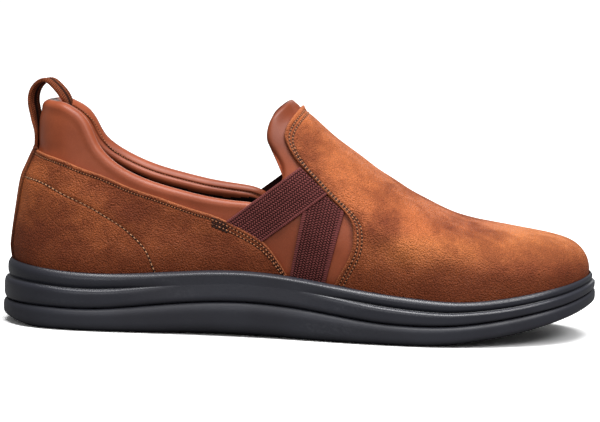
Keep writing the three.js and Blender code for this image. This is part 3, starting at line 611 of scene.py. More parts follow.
class Columns:
    """Lines over the liner, one a row, each from its far end to a drawn edge."""

    STEPS = 90

    def __init__(self, hand, path):
        self.hand, self.path = np.asarray(hand, float)[:, None], path
        self.share = np.linspace(0, 1, self.STEPS)
        points = liner(self.hand, *path(np.broadcast_to(self.share, (len(hand), self.STEPS))))
        run = np.linalg.norm(np.diff(points, axis=1), axis=2)
        self.reach = np.concatenate((np.zeros((len(hand), 1)), np.cumsum(run, axis=1)), axis=1)
        self.length = self.reach[:, -1:]

    def places(self, from_edge):
        """Turn and level at distances from the edge, one row for each line."""
        goal = np.clip(self.length - from_edge, 0, self.length)
        share = np.stack([np.interp(g, r, self.share) for g, r in zip(goal, self.reach)])
        return self.path(share)


def leaning(foot, top, level):
    """Path of columns that lean from a foot to a top turn, from the feather edge up."""
    foot, top, level = (np.asarray(v, float)[:, None] for v in (foot, top, level))

    def path(share):
        here = -1 + (level + 1) * share
        over = np.where(level > 0, np.maximum(here, 0) / np.maximum(level, 1e-9), share)
        return mix(foot, top, over**LEAN_POWER), here

    return path


# Meshes
class Skin:
    """Grids of points, joined into one mesh with its vertex attributes."""

    def __init__(self, *names):
        self.points, self.faces, self.slots = [], [], []
        self.values = {name: [] for name in names}
        self.count = 0

    def grid(self, points, wrap=False, turned=False, slot=0, **values):
        """Adds rows of points, joined into quads. The slot is one for all or one for each."""
        rows, across = points.shape[:2]
        index = np.arange(rows * across).reshape(rows, across) + self.count
        if wrap:
            index = np.concatenate((index, index[:, :1]), axis=1)
        quads = np.stack((index[:-1, :-1], index[:-1, 1:], index[1:, 1:], index[1:, :-1]), axis=-1)
        quads = quads.reshape(-1, 4)
        self.faces.append(quads[:, ::-1] if turned else quads)
        self.slots.append(np.broadcast_to(slot, quads.shape[:1]) if np.ndim(slot) == 0 else slot)
        self.points.append(points.reshape(-1, 3))
        for name, kept in self.values.items():
            kept.append(np.broadcast_to(values.get(name, 0.0), (rows, across)).ravel())
        self.count += rows * across

    def rim(self, outer, inner, ends, sides):
        """Closes the four edges between an outer and an inner sheet, with their values."""
        for one, two in ((outer[0], inner[0]), (inner[-1], outer[-1])):
            self.grid(np.stack((two, one)), **ends)
        for one, two in ((inner[:, 0], outer[:, 0]), (outer[:, -1], inner[:, -1])):
            self.grid(np.stack((two, one)), **sides)

    def finish(self, name, materials):
        """The closed piece, facing outwards, with its seams merged."""
        points, faces = np.concatenate(self.points), np.concatenate(self.faces)
        a, b, c, d = (points[faces[:, k]] for k in range(4))
        volume = (a * np.cross(b, c)).sum() + (a * np.cross(c, d)).sum()
        if volume < 0:
            faces = faces[:, ::-1]
        mesh = bpy.data.meshes.new(name)
        mesh.vertices.add(len(points))
        mesh.vertices.foreach_set("co", points.astype(np.float32).ravel())
        mesh.loops.add(faces.size)
        mesh.loops.foreach_set("vertex_index", np.ascontiguousarray(faces).ravel())
        mesh.polygons.add(len(faces))
        mesh.polygons.foreach_set("loop_start", np.arange(0, faces.size, 4))
        mesh.polygons.foreach_set("material_index", np.concatenate(self.slots).astype(np.int32))
        mesh.update(calc_edges=True)
        for key, kept in self.values.items():
            layer_data = mesh.attributes.new(key, "FLOAT", "POINT")
            layer_data.data.foreach_set("value", np.concatenate(kept).astype(np.float32))
        weld(mesh)
        for material in materials:
            mesh.materials.append(material)
        piece = bpy.data.objects.new(name, mesh)
        bpy.context.scene.collection.objects.link(piece)
        return piece


SAME_POINT, NO_LENGTH = 4e-6, 1e-7  # points and edges closer than this are merged


def weld(mesh):
    """Merges the seams between grids and shades the faces smooth."""
    work = bmesh.new()
    work.from_mesh(mesh)
    bmesh.ops.remove_doubles(work, verts=work.verts, dist=SAME_POINT)
    bmesh.ops.dissolve_degenerate(work, edges=work.edges, dist=NO_LENGTH)
    for face in work.faces:
        face.smooth = True
    work.to_mesh(mesh)
    work.free()
    mesh.update()


def settle(piece, slot, *nodes):
    """Says what body a finished piece moves with and hides the model.glb parts that it stands for; its slot
    is not used.
    """
    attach(piece, BODY)
    if nodes:
        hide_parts(*nodes)
    return piece


# The open edge, and what rises along it
def open_edge():
    """Points all round the foot opening, with their shares along collar and tab."""
    there, over = np.linspace(0, 1, EDGE_LINES[0]), np.linspace(0, 1, EDGE_LINES[1] + 1)[1:]
    sides = []
    for hand in (-1, 1):
        places = [collar_edge(hand, there), TAB_EDGE(hand, over)]
        turn = np.concatenate([one[1] for one in places])
        level = np.concatenate([one[2] for one in places])
        level[-1] = 1
        sides.append(liner(hand, turn, level))
    collar = np.concatenate((1 - there, 0 * over))
    tab = np.concatenate((0 * there, over))
    path = np.concatenate((sides[0], sides[1][::-1]))
    return path, np.concatenate((collar, collar[::-1])), np.concatenate((tab, tab[::-1]))


OPEN_EDGE, EDGE_COLLAR, EDGE_TAB = open_edge()


def pad_share(collar):
    return np.clip(collar * 2.2, 0, 1) ** 0.6


def fade_from(away, depth):
    return np.cos(np.clip(away / depth, 0, 1) * np.pi / 2) ** 2


def rolled(points):
    """How far the rolled edge stands off the liner at each point, with the place's facts."""
    away, where = distance_to_path(points, OPEN_EDGE)
    rows = np.arange(len(EDGE_TAB))
    collar, tab = np.interp(where, rows, EDGE_COLLAR), np.interp(where, rows, EDGE_TAB)
    roll = 1.6 * MM * np.clip(2.2 * tab - 1, 0, 1) + 0.8 * MM * np.clip(4 * collar, 0, 1)
    return fade_from(away, 6.5 * MM) * roll, away, collar, tab


def stand(hand, turn, level, offset):
    """Point on a layer over the liner, rolled edge included."""
    shift = rolled(liner(hand, turn, level))[0]
    return layer(hand, turn, level, shift + offset)


# Sole
def sole_lines(count):
    """Turns for the lines across the sole, closer at the heel and toe."""
    return np.linspace(0, 1, count)


def wall_rows(upper, lower, rows, middle, top, bottom, power=4.0, ends=(0.0, 1.0)):
    """Rows of one bulged band: height between two lines, and inset as a share of the ledge."""
    share = np.linspace(ends[0], ends[1], rows)
    bow = 2 * share - 1
    edge = np.where(bow < 0, top, bottom)
    return [(upper, lower, s, middle + (e - middle) * abs(b) ** power) for s, b, e in zip(share, bow, edge)]


def inset_points(hand, turn, reach, height):
    """Points at a height, inside the sole's outline by a distance."""
    in_x, in_y = inward(hand, turn)
    edge_x, edge_y = outline(hand, turn)
    return np.stack((edge_x + in_x * reach, edge_y + in_y * reach, height), axis=-1)


def wall_points(hand, turn, rows, fade=None):
    """Grid of a wall's points, a line for each turn."""
    station = turn_station(turn)
    grid = []
    for upper, lower, share, inset in rows:
        height = mix(line_height(upper, station), line_height(lower, station), share)
        reach = ledge_at(station) * (inset if fade is None else fade(station, share, inset))
        grid.append(inset_points(hand, turn, reach, height))
    return np.stack(grid, axis=1)


def across(start, end, count, dip=None):
    """Points from one row of points to another, without both ends."""
    share = np.linspace(0, 1, count + 2)[1:-1]
    grid = mix(start[:, None], end[:, None], share[:, None])
    if dip is not None:
        grid[..., 2] += dip(grid, share)
    return grid


def sole_body(name, finish, sides, last, first, dip=None):
    """Closed body of two walls, with a face between their last points and one between their
    first points, each with its count of points across."""
    near, far = sides
    end = across(near[:, -1], far[:, -1], last, dip)
    start = across(far[:, 0], near[:, 0], first)
    skin = Skin()
    skin.grid(np.concatenate((near, end, far[:, ::-1], start), axis=1), wrap=True)
    return skin.finish(name, [finish])


GROOVES = (0.105, 0.15, 0.195, 0.575, 0.625, 0.675, 0.725)  # stations of the flex grooves
GROOVE_HALF, GROOVE_DEPTH = 2.1 * MM, 1.8 * MM
GROOVE_END = 10.5 * MM  # in from the edge of the tread


def outsole_mesh(finish):
    """Dark lower layer with its heel bevel, arch, toe spring and flex grooves."""
    turn = sole_lines(OUTSOLE_LINES)
    rows = wall_rows("split", "bottom", 30, 0.0, 0.5, 0.95, power=4.5)
    sides = [wall_points(hand, turn, rows) for hand in (-1, 1)]
    for side in sides:
        side[:, 0, 2] -= FIT_GAP
    grooves = LENGTH * (np.array(GROOVES) - 0.5)

    def channels(grid, share):
        near = np.abs(grid[..., 0:1] - grooves).min(axis=-1)
        half = np.abs(sides[1][:, -1, 1] - sides[0][:, -1, 1])[:, None] / 2
        edge = half * (1 - np.abs(2 * share - 1))
        cut = smooth((GROOVE_HALF - near) / (1.1 * MM)) * smooth((edge - GROOVE_END) / (1.5 * MM))
        return GROOVE_DEPTH * cut

    return sole_body("outsole_shell", finish, sides, 70, 4, channels)


def midsole_mesh(finish):
    """Moulded cup with a rounded bead round its rim and a hollow band under it."""
    turn = sole_lines(MIDSOLE_LINES)
    station = turn_station(turn)
    bead = wall_rows("rim", "groove", 22, 0.5, 0.92, 0.86, power=2.6, ends=(0.02, 1.0))
    band = wall_rows("groove", "split", 26, 0.08, 0.42, 0.5, power=5.0, ends=(0.03, 1.0))

    def shut(at):
        """The upper groove is open at the heel and toe and closed at the waist."""
        return smooth((at - 0.17) / 0.14) * (1 - smooth((at - 0.5) / 0.14))

    def bead_reach(at, share, inset):
        flat = 0.28 + 0.08 * (1 - share) + 0.56 * np.maximum(0, 1 - share / 0.3) ** 2
        return mix(inset, flat, shut(at))

    def band_reach(at, share, inset):
        flat = mix(0.28, 0.08, share) + (inset - 0.08 if share > 0.5 else 0)
        return mix(inset, flat, shut(at))

    sides = []
    for hand in (-1, 1):
        upper = wall_points(hand, turn, bead, bead_reach)
        lower = wall_points(hand, turn, band, band_reach)
        belly = belly_height(station)
        depth = (belly - line_height("rim", station)) / (belly - feather_height(station))
        inset = ledge_at(station) + tuck_at(station) * np.clip(depth, 0, 1) ** 2 - FIT_GAP
        rim, floor = line_height("rim", station), footbed_height(station)
        lip = [inset_points(hand, turn, inset, mix(floor, rim, s)) for s in (0, 0.4, 0.8, 0.93)]
        lip.append(inset_points(hand, turn, inset - 0.35 * MM, rim))
        sides.append(np.concatenate((np.stack(lip, axis=1), upper, lower), axis=1))
    return sole_body("midsole_cup", finish, sides, 6, 20)


def insole_mesh(finish):
    """Shaped footbed: raised round its edge, dished at the heel, low under the ball."""
    turn = sole_lines(FOOTBED_LINES)
    station = turn_station(turn)
    inset = ledge_at(station) + tuck_at(station) + OVERLAY + LINER_WALL + 1.3 * MM
    base = footbed_height(station) + FIT_GAP
    sides = []
    for hand in (-1, 1):
        rows = [inset_points(hand, turn, inset, base)]
        for angle in np.linspace(0, np.pi / 2, 6):
            step = inset + 1.4 * MM * (1 - np.cos(angle))
            height = base + 3.1 * MM + 1.4 * MM * np.sin(angle)
            rows.append(inset_points(hand, turn, step, height))
        sides.append(np.stack(rows, axis=1))

    def dish(grid, share):
        hollow = 1.0 * MM * np.sin(np.pi * share) ** 0.6
        pattern = 0.12 * MM * np.sin(grid[..., 0] / (1.1 * MM)) * np.sin(grid[..., 1] / (1.1 * MM))
        return pattern * (np.sin(np.pi * share) > 0.2) - hollow * smooth((1 - station[:, None]) * 3)

    return sole_body("footbed", finish, sides, 90, 4, dish)


# Upper
INNER_SEAM = 2.8 * MM  # sewn seam inside the collar, below its top line
LINING_START = 7 * MM  # textile lining, below the same line; its near-black colour is partly its own and partly painted shade inside the shoe
EDGE_PAD = 4.6 * MM  # thickness of the edge at the instep tab


def pad_at(collar):
    """Thickness of the upper's edge, from the instep tab to the padded heel."""
    return mix(EDGE_PAD, COLLAR_PAD, pad_share(collar))


def upper_columns(hand):
    """Foot, top and level of each column on one side, with its share of the collar."""
    there = np.linspace(0, 1, UPPER_LINES[0])
    over, ahead = (np.linspace(0, 1, count + 1)[1:] for count in UPPER_LINES[1:])
    toe = mix(station_turn(TAB_LINE[-1][0]), 1, ahead**1.2)
    collar, tab = collar_edge(hand, there), TAB_EDGE(hand, over)
    level = np.concatenate((collar[2], tab[2], np.ones(len(toe))))
    level[len(there) + len(over) - 1] = 1
    foot = np.concatenate((collar[0], tab[0], toe))
    top = np.concatenate((collar[1], tab[1], RIDGE_TOP(toe)))
    share = np.concatenate((1 - there, 0 * over, 0 * toe))
    return foot, top, level, share


def upper_faces(hand, turn, level, share):
    """Outer and inner face of the upper at its places, with their distance from the edge."""
    pad = pad_at(share)
    shift, away, collar, _ = rolled(liner(hand, turn, level))
    away = np.where(level > 0, away, 1)
    depth = mix(8 * MM, COLLAR_DEPTH, pad_share(share))
    wall = mix(LINER_WALL, pad, fade_from(away, depth))
    half = pad / 2
    draw = half * (1 - rounded(away, half))
    gather = 0.1 * MM * bell(collar - 0.68, 0.05) * np.sin(away / (1.9 * MM)) * smooth(away / (3 * MM))
    outer = layer(hand, turn, level, shift - draw + gather)
    lined = smooth(collar * 30)
    seam = 0.8 * MM * bell(away - INNER_SEAM, 0.45 * MM) * lined
    roll = 0.9 * MM * bell(away - INNER_SEAM - 2.4 * MM, 1.9 * MM) * lined
    hollow = 3.2 * MM * smooth((away - 6.5 * MM) / (3 * MM)) * lined * fade_from(away, depth)
    inner = layer(hand, turn, level, shift + draw - wall + seam - roll + hollow)
    return outer, inner, away


def upper_mesh(outside, lining_and_shade):
    """One hollow body of smooth leather with a padded collar and a rolled instep edge."""
    outer, inner, dark, mask = [], [], [], []
    for hand in (-1, 1):
        foot, top, level, share = upper_columns(hand)
        share = share[:, None]
        lines = Columns(np.full(len(foot), hand), leaning(foot, top, level))
        half = pad_at(share) / 2
        lip = (1 - np.cos(np.linspace(np.pi / 2, 0, UPPER_ROWS[1]))) * half
        body = mix(lines.length, half, np.linspace(0, 1, UPPER_ROWS[0])[:-1] ** 0.8)
        turn, height = lines.places(np.concatenate((body, lip), axis=1))
        out, back, away = upper_faces(np.full(turn.shape, hand), turn, height, share)
        outer.append(out)
        inner.append(back)
        mask.append(away)
        # below this line the inner face takes the near-black lining: partly its own colour, partly painted
        # shade inside the shoe
        start = mix(3.5 * MM, LINING_START, smooth(share * 6))
        dark.append((away > start) | (height < 0))
    outer, inner, dark, mask = (np.concatenate((v[0], v[1][::-1])) for v in (outer, inner, dark, mask))
    skin = Skin("from_edge")
    skin.grid(outer, from_edge=mask)
    skin.grid(inner, turned=True, slot=dark[:-1, :-1].astype(int).ravel(), from_edge=mask)
    skin.grid(np.stack((inner[:, 0], outer[:, 0]), axis=1), from_edge=1)
    return skin.finish("upper_leather", [outside, lining_and_shade])


def inner_seam_row(hand):
    """Points and facing of the sewn seam inside the padded collar."""
    foot, top, level, share = upper_columns(hand)
    kept = share > 0.03
    lines = Columns(np.full(kept.sum(), hand), leaning(foot[kept], top[kept], level[kept]))
    turn, level = lines.places(np.full((kept.sum(), 1), INNER_SEAM))
    hands = np.full(turn.shape, hand)
    points = upper_faces(hands, turn, level, share[kept][:, None])[1]
    return points[:, 0], -liner_normal(hands, turn, level)[:, 0]


# Suede: the decorative row as stations and height shares of the side view
THREAD_LINE = (
    (0.0334, 0.507),
    (0.064, 0.5008),
    (0.0902, 0.4688),
    (0.1114, 0.4322),
    (0.1329, 0.4004),
    (0.1593, 0.3568),
    (0.1846, 0.3064),
    (0.2107, 0.2498),
    (0.2268, 0.2039),
    (0.242, 0.1517),
    (0.2522, 0.0988),
    (0.2599, 0.0329),
    (0.2658, -0.0156),
)

# Soft folds of the vamp and the quarter in the side view: station and height share of both
# ends, half width and rise in millimetres, where a trough has a negative rise.
VAMP_FOLDS = (
    ((0.6, 0.33), (0.7, 0.19), 4.5, 0.45),
    ((0.67, 0.26), (0.79, 0.16), 6.0, 0.7),
    ((0.63, 0.2), (0.69, 0.05), 4.0, -0.55),
    ((0.71, 0.1), (0.8, 0.07), 3.5, -0.3),
    ((0.74, 0.28), (0.8, 0.36), 5.0, -0.25),
    ((0.6, 0.52), (0.66, 0.36), 5.0, -0.2),
)
QUARTER_FOLDS = (
    ((0.1, 0.5), (0.24, 0.3), 6.0, 0.3),
    ((0.22, 0.36), (0.4, 0.12), 5.0, -0.35),
    ((0.28, 0.2), (0.42, 0.05), 6.0, 0.25),
    ((0.05, 0.3), (0.16, 0.1), 6.0, -0.25),
)


def side_view(points):
    """Points as the side view shows them: along and height, in metres."""
    return np.stack((points[..., 0], points[..., 2]), axis=-1)


def folds(points, table):
    """Height of the soft folds and troughs at points of the liner."""
    view = side_view(points)
    total = np.zeros(points.shape[:-1])
    for start, end, half, rise in table:
        ends = [np.array((LENGTH * (one[0] - 0.5), rise_height(one[1]))) for one in (start, end)]
        bend = (ends[0] + ends[1]) / 2 + np.array((0.004, -0.002))
        share = np.linspace(0, 1, 9)[:, None]
        path = (1 - share) ** 2 * ends[0] + 2 * share * (1 - share) * bend + share**2 * ends[1]
        away, where = distance_to_path(view, path)
        total += rise * MM * bell(away, half * MM) * np.sqrt(np.clip(1 - (where / 4 - 1) ** 4, 0, 1))
    return total


def ripple(points, size, seed):
    """Smooth unevenness between -1 and 1, the same on each run."""
    dice = np.random.default_rng(seed)
    total = np.zeros(points.shape[:-1])
    for _ in range(9):
        wave = dice.normal(size=3)
        wave *= 2 * np.pi / (size * dice.uniform(0.7, 1.5) * np.linalg.norm(wave))
        total += np.sin(points @ wave + dice.uniform(0, 2 * np.pi))
    return total / 5


def row_beside(lines, distance):
    """Places of a row at one distance in from the edge that the lines end at."""
    turn, level = lines.places(np.full((len(lines.length), 1), distance))
    return turn[:, 0], level[:, 0]


def quarter_lines(hand, share):
    foot, top, level = QUARTER_EDGE(hand, share)
    return Columns(np.full(len(share), hand), leaning(foot, top, level))


def vamp_edge_turn(hand, level):
    """Turn at which the vamp's rear edge crosses each level."""

    def behind(turn):
        point = liner(hand, turn, level)
        return point[..., 0] < LENGTH * (VAMP_STATION((point[..., 2] - STACK) / RISE) - 0.5)

    return last_turn(behind, level.shape)


def vamp_lines(hand, level):
    edge = vamp_edge_turn(hand, level)[:, None]
    level = level[:, None]
    return Columns(np.full(len(level), hand), lambda share: (mix(1, edge, share), level + 0 * share))


def decorative_row(hand):
    """Turns and levels of the stitched line that falls from the heel to the rim."""
    rows = np.array(THREAD_LINE)
    run = summed(np.hypot(*np.diff(rows, axis=0).T))
    at = np.linspace(0, run[-1], 90)
    x, z = Natural(run, rows[:, 0])(at), Natural(run, rows[:, 1])(at)
    return on_side(hand, LENGTH * (x - 0.5), rise_height(z))


EDGE_ROW, SECOND_ROW = 2.1 * MM, 4.0 * MM  # stitched rows in from an edge
TOP_ROW, FRONT_ROWS = (0.0, 0.7), (0.7, 0.985)  # quarter's edge with one row, and with two
TACK_ROWS = (0.7, 0.745)  # short close rows that hold the strap's end
TACK_PLACES = (1.3, 2.2, 3.1, 4.0, 4.9)  # in from the edge, in millimetres


def suede_rows():
    """Every stitched row of the suede, as hand, turns, levels and its kind."""
    rows = []
    for hand in (-1, 1):
        turn, level = decorative_row(hand)
        rows.append((hand, turn, level, "light"))
        lines = quarter_lines(hand, np.linspace(*TOP_ROW, 150))
        rows.append((hand, *row_beside(lines, EDGE_ROW), "fine"))
        lines = quarter_lines(hand, np.linspace(*FRONT_ROWS, 80))
        for distance in (EDGE_ROW, SECOND_ROW):
            rows.append((hand, *row_beside(lines, distance), "double"))
        lines = vamp_lines(hand, np.linspace(-0.75, 1, 170))
        for distance in (EDGE_ROW + 0.2 * MM, SECOND_ROW + 0.2 * MM):
            rows.append((hand, *row_beside(lines, distance), "vamp"))
        lines = quarter_lines(hand, np.linspace(*TACK_ROWS, 16))
        for distance in np.array(TACK_PLACES) * MM:
            rows.append((hand, *row_beside(lines, distance), "tack"))
    return rows


def stitch_troughs(points, rows):
    """Depth to which the threads pull the suede in, between 0 and 1."""
    pull = np.zeros(points.shape[:-1])
    for hand, turn, level, _ in rows:
        path = liner(hand, turn, level)
        near = (points >= path.min(axis=0) - 3 * MM) & (points <= path.max(axis=0) + 3 * MM)
        near = near.all(axis=-1)
        away = distance_to_path(points[near], path)[0]
        pull[near] = np.maximum(pull[near], bell(away, STITCH_HALF))
    return pull


EDGE_ZONE = 8 * MM  # from the edge, with closer rows
STITCH_HALF = 0.7 * MM  # half width of the trough that a row of stitches draws
STITCH_DEPTH = 0.28 * MM
WAVE, WAVE_SIZE = 0.16 * MM, 16 * MM  # unevenness of the hide
PLUMP, PLUMP_PLACE, PLUMP_HALF = 0.22 * MM, 1.3 * MM, 0.9 * MM  # swelling beside the cut edge


def suede_sheet(lines, hands, rows, table, seed):
    """Sheet with a rounded cut edge over the liner, from lines that end at the edge."""
    half = SUEDE / 2
    near = np.minimum(EDGE_ZONE, 0.5 * lines.length)
    far = mix(lines.length, near, np.linspace(0, 1, SUEDE_ROWS[0] + 1)[:-1])
    close = mix(near, half, np.linspace(0, 1, SUEDE_ROWS[1] + 1)[:-1])
    turned = np.linspace(0, np.pi, SUEDE_ROWS[2])
    edge = half * (1 - np.sin(turned)) + 0 * lines.length
    back = np.concatenate((close[:, ::-2], far[:, ::-3], lines.length), axis=1)
    away = np.concatenate((far, close, edge, back), axis=1)
    outer = far.shape[1] + close.shape[1]
    offset = np.full(away.shape, FIT_GAP)
    offset[:, :outer] = OVERLAY
    offset[:, outer : outer + len(turned)] = FIT_GAP + half * (1 + np.cos(turned))
    turn, level = lines.places(away)
    hand = hands[:, None] + 0 * turn
    points = liner(hand, turn, level)
    shift = rolled(points)[0]
    top = points[:, : outer + 3]
    pull = stitch_troughs(top, rows)
    body = smooth(away[:, : outer + 3] / (5 * MM) - 0.4)
    bump = folds(top, table) * body + WAVE * ripple(top, WAVE_SIZE, seed) * body
    plump = PLUMP * bell(away[:, : outer + 3] - PLUMP_PLACE, PLUMP_HALF)
    offset[:, : outer + 3] += bump + plump - STITCH_DEPTH * pull
    # the trough depth also carries the painted shade of the stitch lines
    mask = np.zeros(away.shape)
    mask[:, : outer + 3] = pull
    return layer(hand, turn, level, shift + offset), away, mask


def quarter_mesh(finish, rows):
    """Overlay round the heel, from the front edge of one side to that of the other."""
    share = np.linspace(0, 1, QUARTER_LINES)
    hands = np.concatenate((np.full(QUARTER_LINES - 1, 1), np.full(QUARTER_LINES, -1)))
    edges = QUARTER_EDGE(1, share[:0:-1]), QUARTER_EDGE(-1, share)
    foot, top, level = (np.concatenate(one) for one in zip(*edges))
    lines = Columns(hands, leaning(foot, top, level))
    points, away, pull = suede_sheet(lines, hands, rows, QUARTER_FOLDS, 5)
    return close_sheet("quarter_suede", finish, points, away, pull)


def vamp_mesh(finish, rows):
    """Overlay over toe and instep, whose lines run from the toe's tip back to its rear edge."""
    climb = np.concatenate((np.linspace(-1, 0, 14)[:-1], np.linspace(0, 1, 100) ** 0.95))
    hands = np.concatenate((np.full(len(climb), -1), np.full(len(climb) - 1, 1)))
    level = np.concatenate((climb, climb[::-1][1:]))
    edge = np.concatenate([vamp_edge_turn(h, level[hands == h]) for h in (-1, 1)])[:, None]
    column = level[:, None]
    lines = Columns(hands, lambda share: (mix(1, edge, share), column + 0 * share))
    points, away, pull = suede_sheet(lines, hands, rows, VAMP_FOLDS, 8)
    return close_sheet("vamp_suede", finish, points, away, pull)


def close_sheet(name, finish, points, away, pull):
    """Mesh of a ring of rows a line, with both ends closed."""
    skin = Skin("from_edge", "pulled")
    skin.grid(points, wrap=True, from_edge=away, pulled=pull)
    count = points.shape[1]
    half = count // 2
    for line, turned in ((0, False), (-1, True)):
        front, back = points[line, :half], points[line, count - half :][::-1]
        cap = np.stack((front, back))
        skin.grid(cap, turned=turned, from_edge=0.0)
    return skin.finish(name, [finish])


BACKSTAY_HALF = (7.5, 11.0)  # half widths of the strip at its foot and at its top, in millimetres


def backstay_mesh(finish):
    """Narrow suede strip over the seam at the back of the heel, with a line of painted shade round it."""
    low, high = float(line_height("rim", 0.0)) - 3 * MM, rise_height(QUARTER_LINE[0][2]) + 0.2 * MM
    heights = np.linspace(low, high, BACKSTAY_GRID[0])
    lean = (heights - low) / (high - low)
    half = mix(*BACKSTAY_HALF, smooth(lean)) * MM
    side = np.broadcast_to(np.linspace(-1, 1, BACKSTAY_GRID[1]), BACKSTAY_GRID)
    hand = np.where(side < 0, -1, 1)
    target = np.abs(side) * half[:, None]
    z = np.broadcast_to(heights[:, None], side.shape)

    def inside(turn):
        return np.abs(liner(hand, turn, level_at(hand, turn, z))[..., 1]) < target

    turn = last_turn(inside, side.shape, 0.25, 24)
    turn[:, BACKSTAY_GRID[1] // 2] = 0
    level = level_at(hand, turn, z)
    reach = (1 - np.abs(side)) * half[:, None]
    near = np.minimum(reach, high - z)
    swell = rounded(near, 0.7 * MM)
    stitch = bell(near - 1.9 * MM, 0.5 * MM)
    outer = layer(hand, turn, level, OVERLAY + 0.1 * MM + 0.85 * MM * swell - 0.15 * MM * stitch)
    inner = layer(hand, turn, level, OVERLAY - 0.4 * MM)
    skin = Skin("from_edge", "pulled")
    # painted shade line along the backstay's edge, besides its stitch trough
    stitch = np.maximum(stitch, 1.6 * bell(near, 0.45 * MM))
    skin.grid(outer, from_edge=near + 1 * MM, pulled=stitch)
    skin.grid(inner, turned=True, from_edge=1)
    cut = {"from_edge": 1, "pulled": 1.6}
    skin.rim(outer, inner, cut, cut)
    return skin.finish("backstay_suede", [finish])


# Elastic straps: corners as stations and height shares of the side view, rear low, rear
# high, front high, front low; the places lie along the strap and then across it.
LONG_SIDES = (((0.4436, 0.1946), (0.3816, 0.3079)), ((0.5481, 0.4825), (0.5, 0.637)), 1.0)
SHORT_SIDES = (((0.487, -0.07), (0.5465, -0.08)), ((0.5075, 0.374), (0.5465, 0.4725), (0.577, 0.385)), 0.52)


LONG_LEVELS, SHORT_LEVELS = (0.5 * MM, 1.75 * MM), (0.45 * MM, 1.35 * MM)  # over the liner


def brickwork(u, v, rib):
    """Height of oval yarns laid like bricks, between 0 and 1: u along the strap, v across."""
    brick, best = 0.8 * rib, np.zeros_like(u)
    for step in (-1, 0, 1):
        row = np.floor(v / rib) + step
        dv = v / rib - row - 0.5
        du = u / brick + 0.55 * dv * (2 * (row % 2) - 1) - 0.5 * (row % 2)
        du -= np.round(du)
        best = np.maximum(best, 1 - (dv / 0.58) ** 2 - (du / 0.47) ** 2)
    return np.sqrt(np.clip(best, 0, 1))


def strap_mesh(name, finish, hand, sides, levels, rib):
    """Woven elastic laid on the side, with its bricks of yarn raised from the ground."""

    def spread(corners, corner_share, t):
        points = np.array([(LENGTH * (x - 0.5), rise_height(z)) for x, z in corners])
        at = (0, 1) if len(points) == 2 else (0, corner_share, 1)
        return between(t, at, points)

    foot, head, corner_share = sides
    start, end = spread(foot, 1, np.linspace(0, 1, 3)), spread(head, corner_share, np.linspace(0, 1, 3))
    axis = (end - start).mean(axis=0)
    axis /= np.linalg.norm(axis)
    side_way = np.array((-axis[1], axis[0]))
    along_size = np.linalg.norm(end - start, axis=1).max()
    across_size = np.linalg.norm(start[-1] - start[0])
    inner_level, outer_level = levels
    along, over = int(along_size / STRAP_GRID[0]), int(across_size / STRAP_GRID[1])
    s, t = np.meshgrid(np.linspace(0, 1, along), np.linspace(0, 1, over), indexing="ij")
    view = mix(spread(foot, 1, t), spread(head, corner_share, t), s[..., None])
    turn, level = on_side(hand, view[..., 0], view[..., 1])
    u, v = (view - start[0]) @ axis, np.abs((view - start[0]) @ side_way)
    bump = brickwork(u, v, rib)
    selvedge = np.minimum(t, 1 - t) * across_size
    plain = smooth((1.5 * MM - selvedge) / (0.3 * MM))
    cord_rows = 0.5 + 0.5 * np.abs(np.sin(np.pi * u / (0.9 * MM)))
    weave = mix(bump, cord_rows, plain)
    swell = rounded(selvedge, 0.5 * MM)
    thick = outer_level - inner_level
    rise = inner_level + thick * mix(0.25, 1, swell) + 0.5 * MM * (weave - 0.6) * swell
    outer = stand(hand, turn, level, rise)
    inner = stand(hand, turn, level, inner_level)
    skin = Skin("weave")
    skin.grid(outer, weave=weave)
    skin.grid(inner, turned=True, weave=0.3)
    skin.rim(outer, inner, {"weave": 0.3}, {"weave": 0.6})
    return skin.finish(name, [finish])


# Pull loop
def even_line(points, count):
    """Smooth line through points, evenly spaced, with its headings."""
    points = np.asarray(points)
    knots = summed(np.sqrt(steps_of(points)))
    fine = np.linspace(0, knots[-1], 600)
    raw = np.stack([Natural(knots, points[:, k])(fine) for k in range(3)], axis=-1)
    run = summed(steps_of(raw))
    line = between(np.linspace(0, run[-1], count), run, raw)
    heading = np.gradient(line, axis=0)
    return line, heading / np.linalg.norm(heading, axis=1, keepdims=True), run[-1]


LOOP_TURN = math.radians(-19)  # twist of the loop about its own middle
LOOP_CROWN, LOOP_BACK, LOOP_SPAN = 8 * MM, 3 * MM, 13.2 * MM  # over, behind and across the collar
TAPE = (10 * MM, 1.8 * MM)  # width and thickness
TAPE_RIB, TAPE_STEP = 1.45 * MM, 0.9 * MM  # one rib across, one yarn along
TAPE_SQUARE = 0.32  # roundness of its section, 1 for an oval and 0 for a sharp box


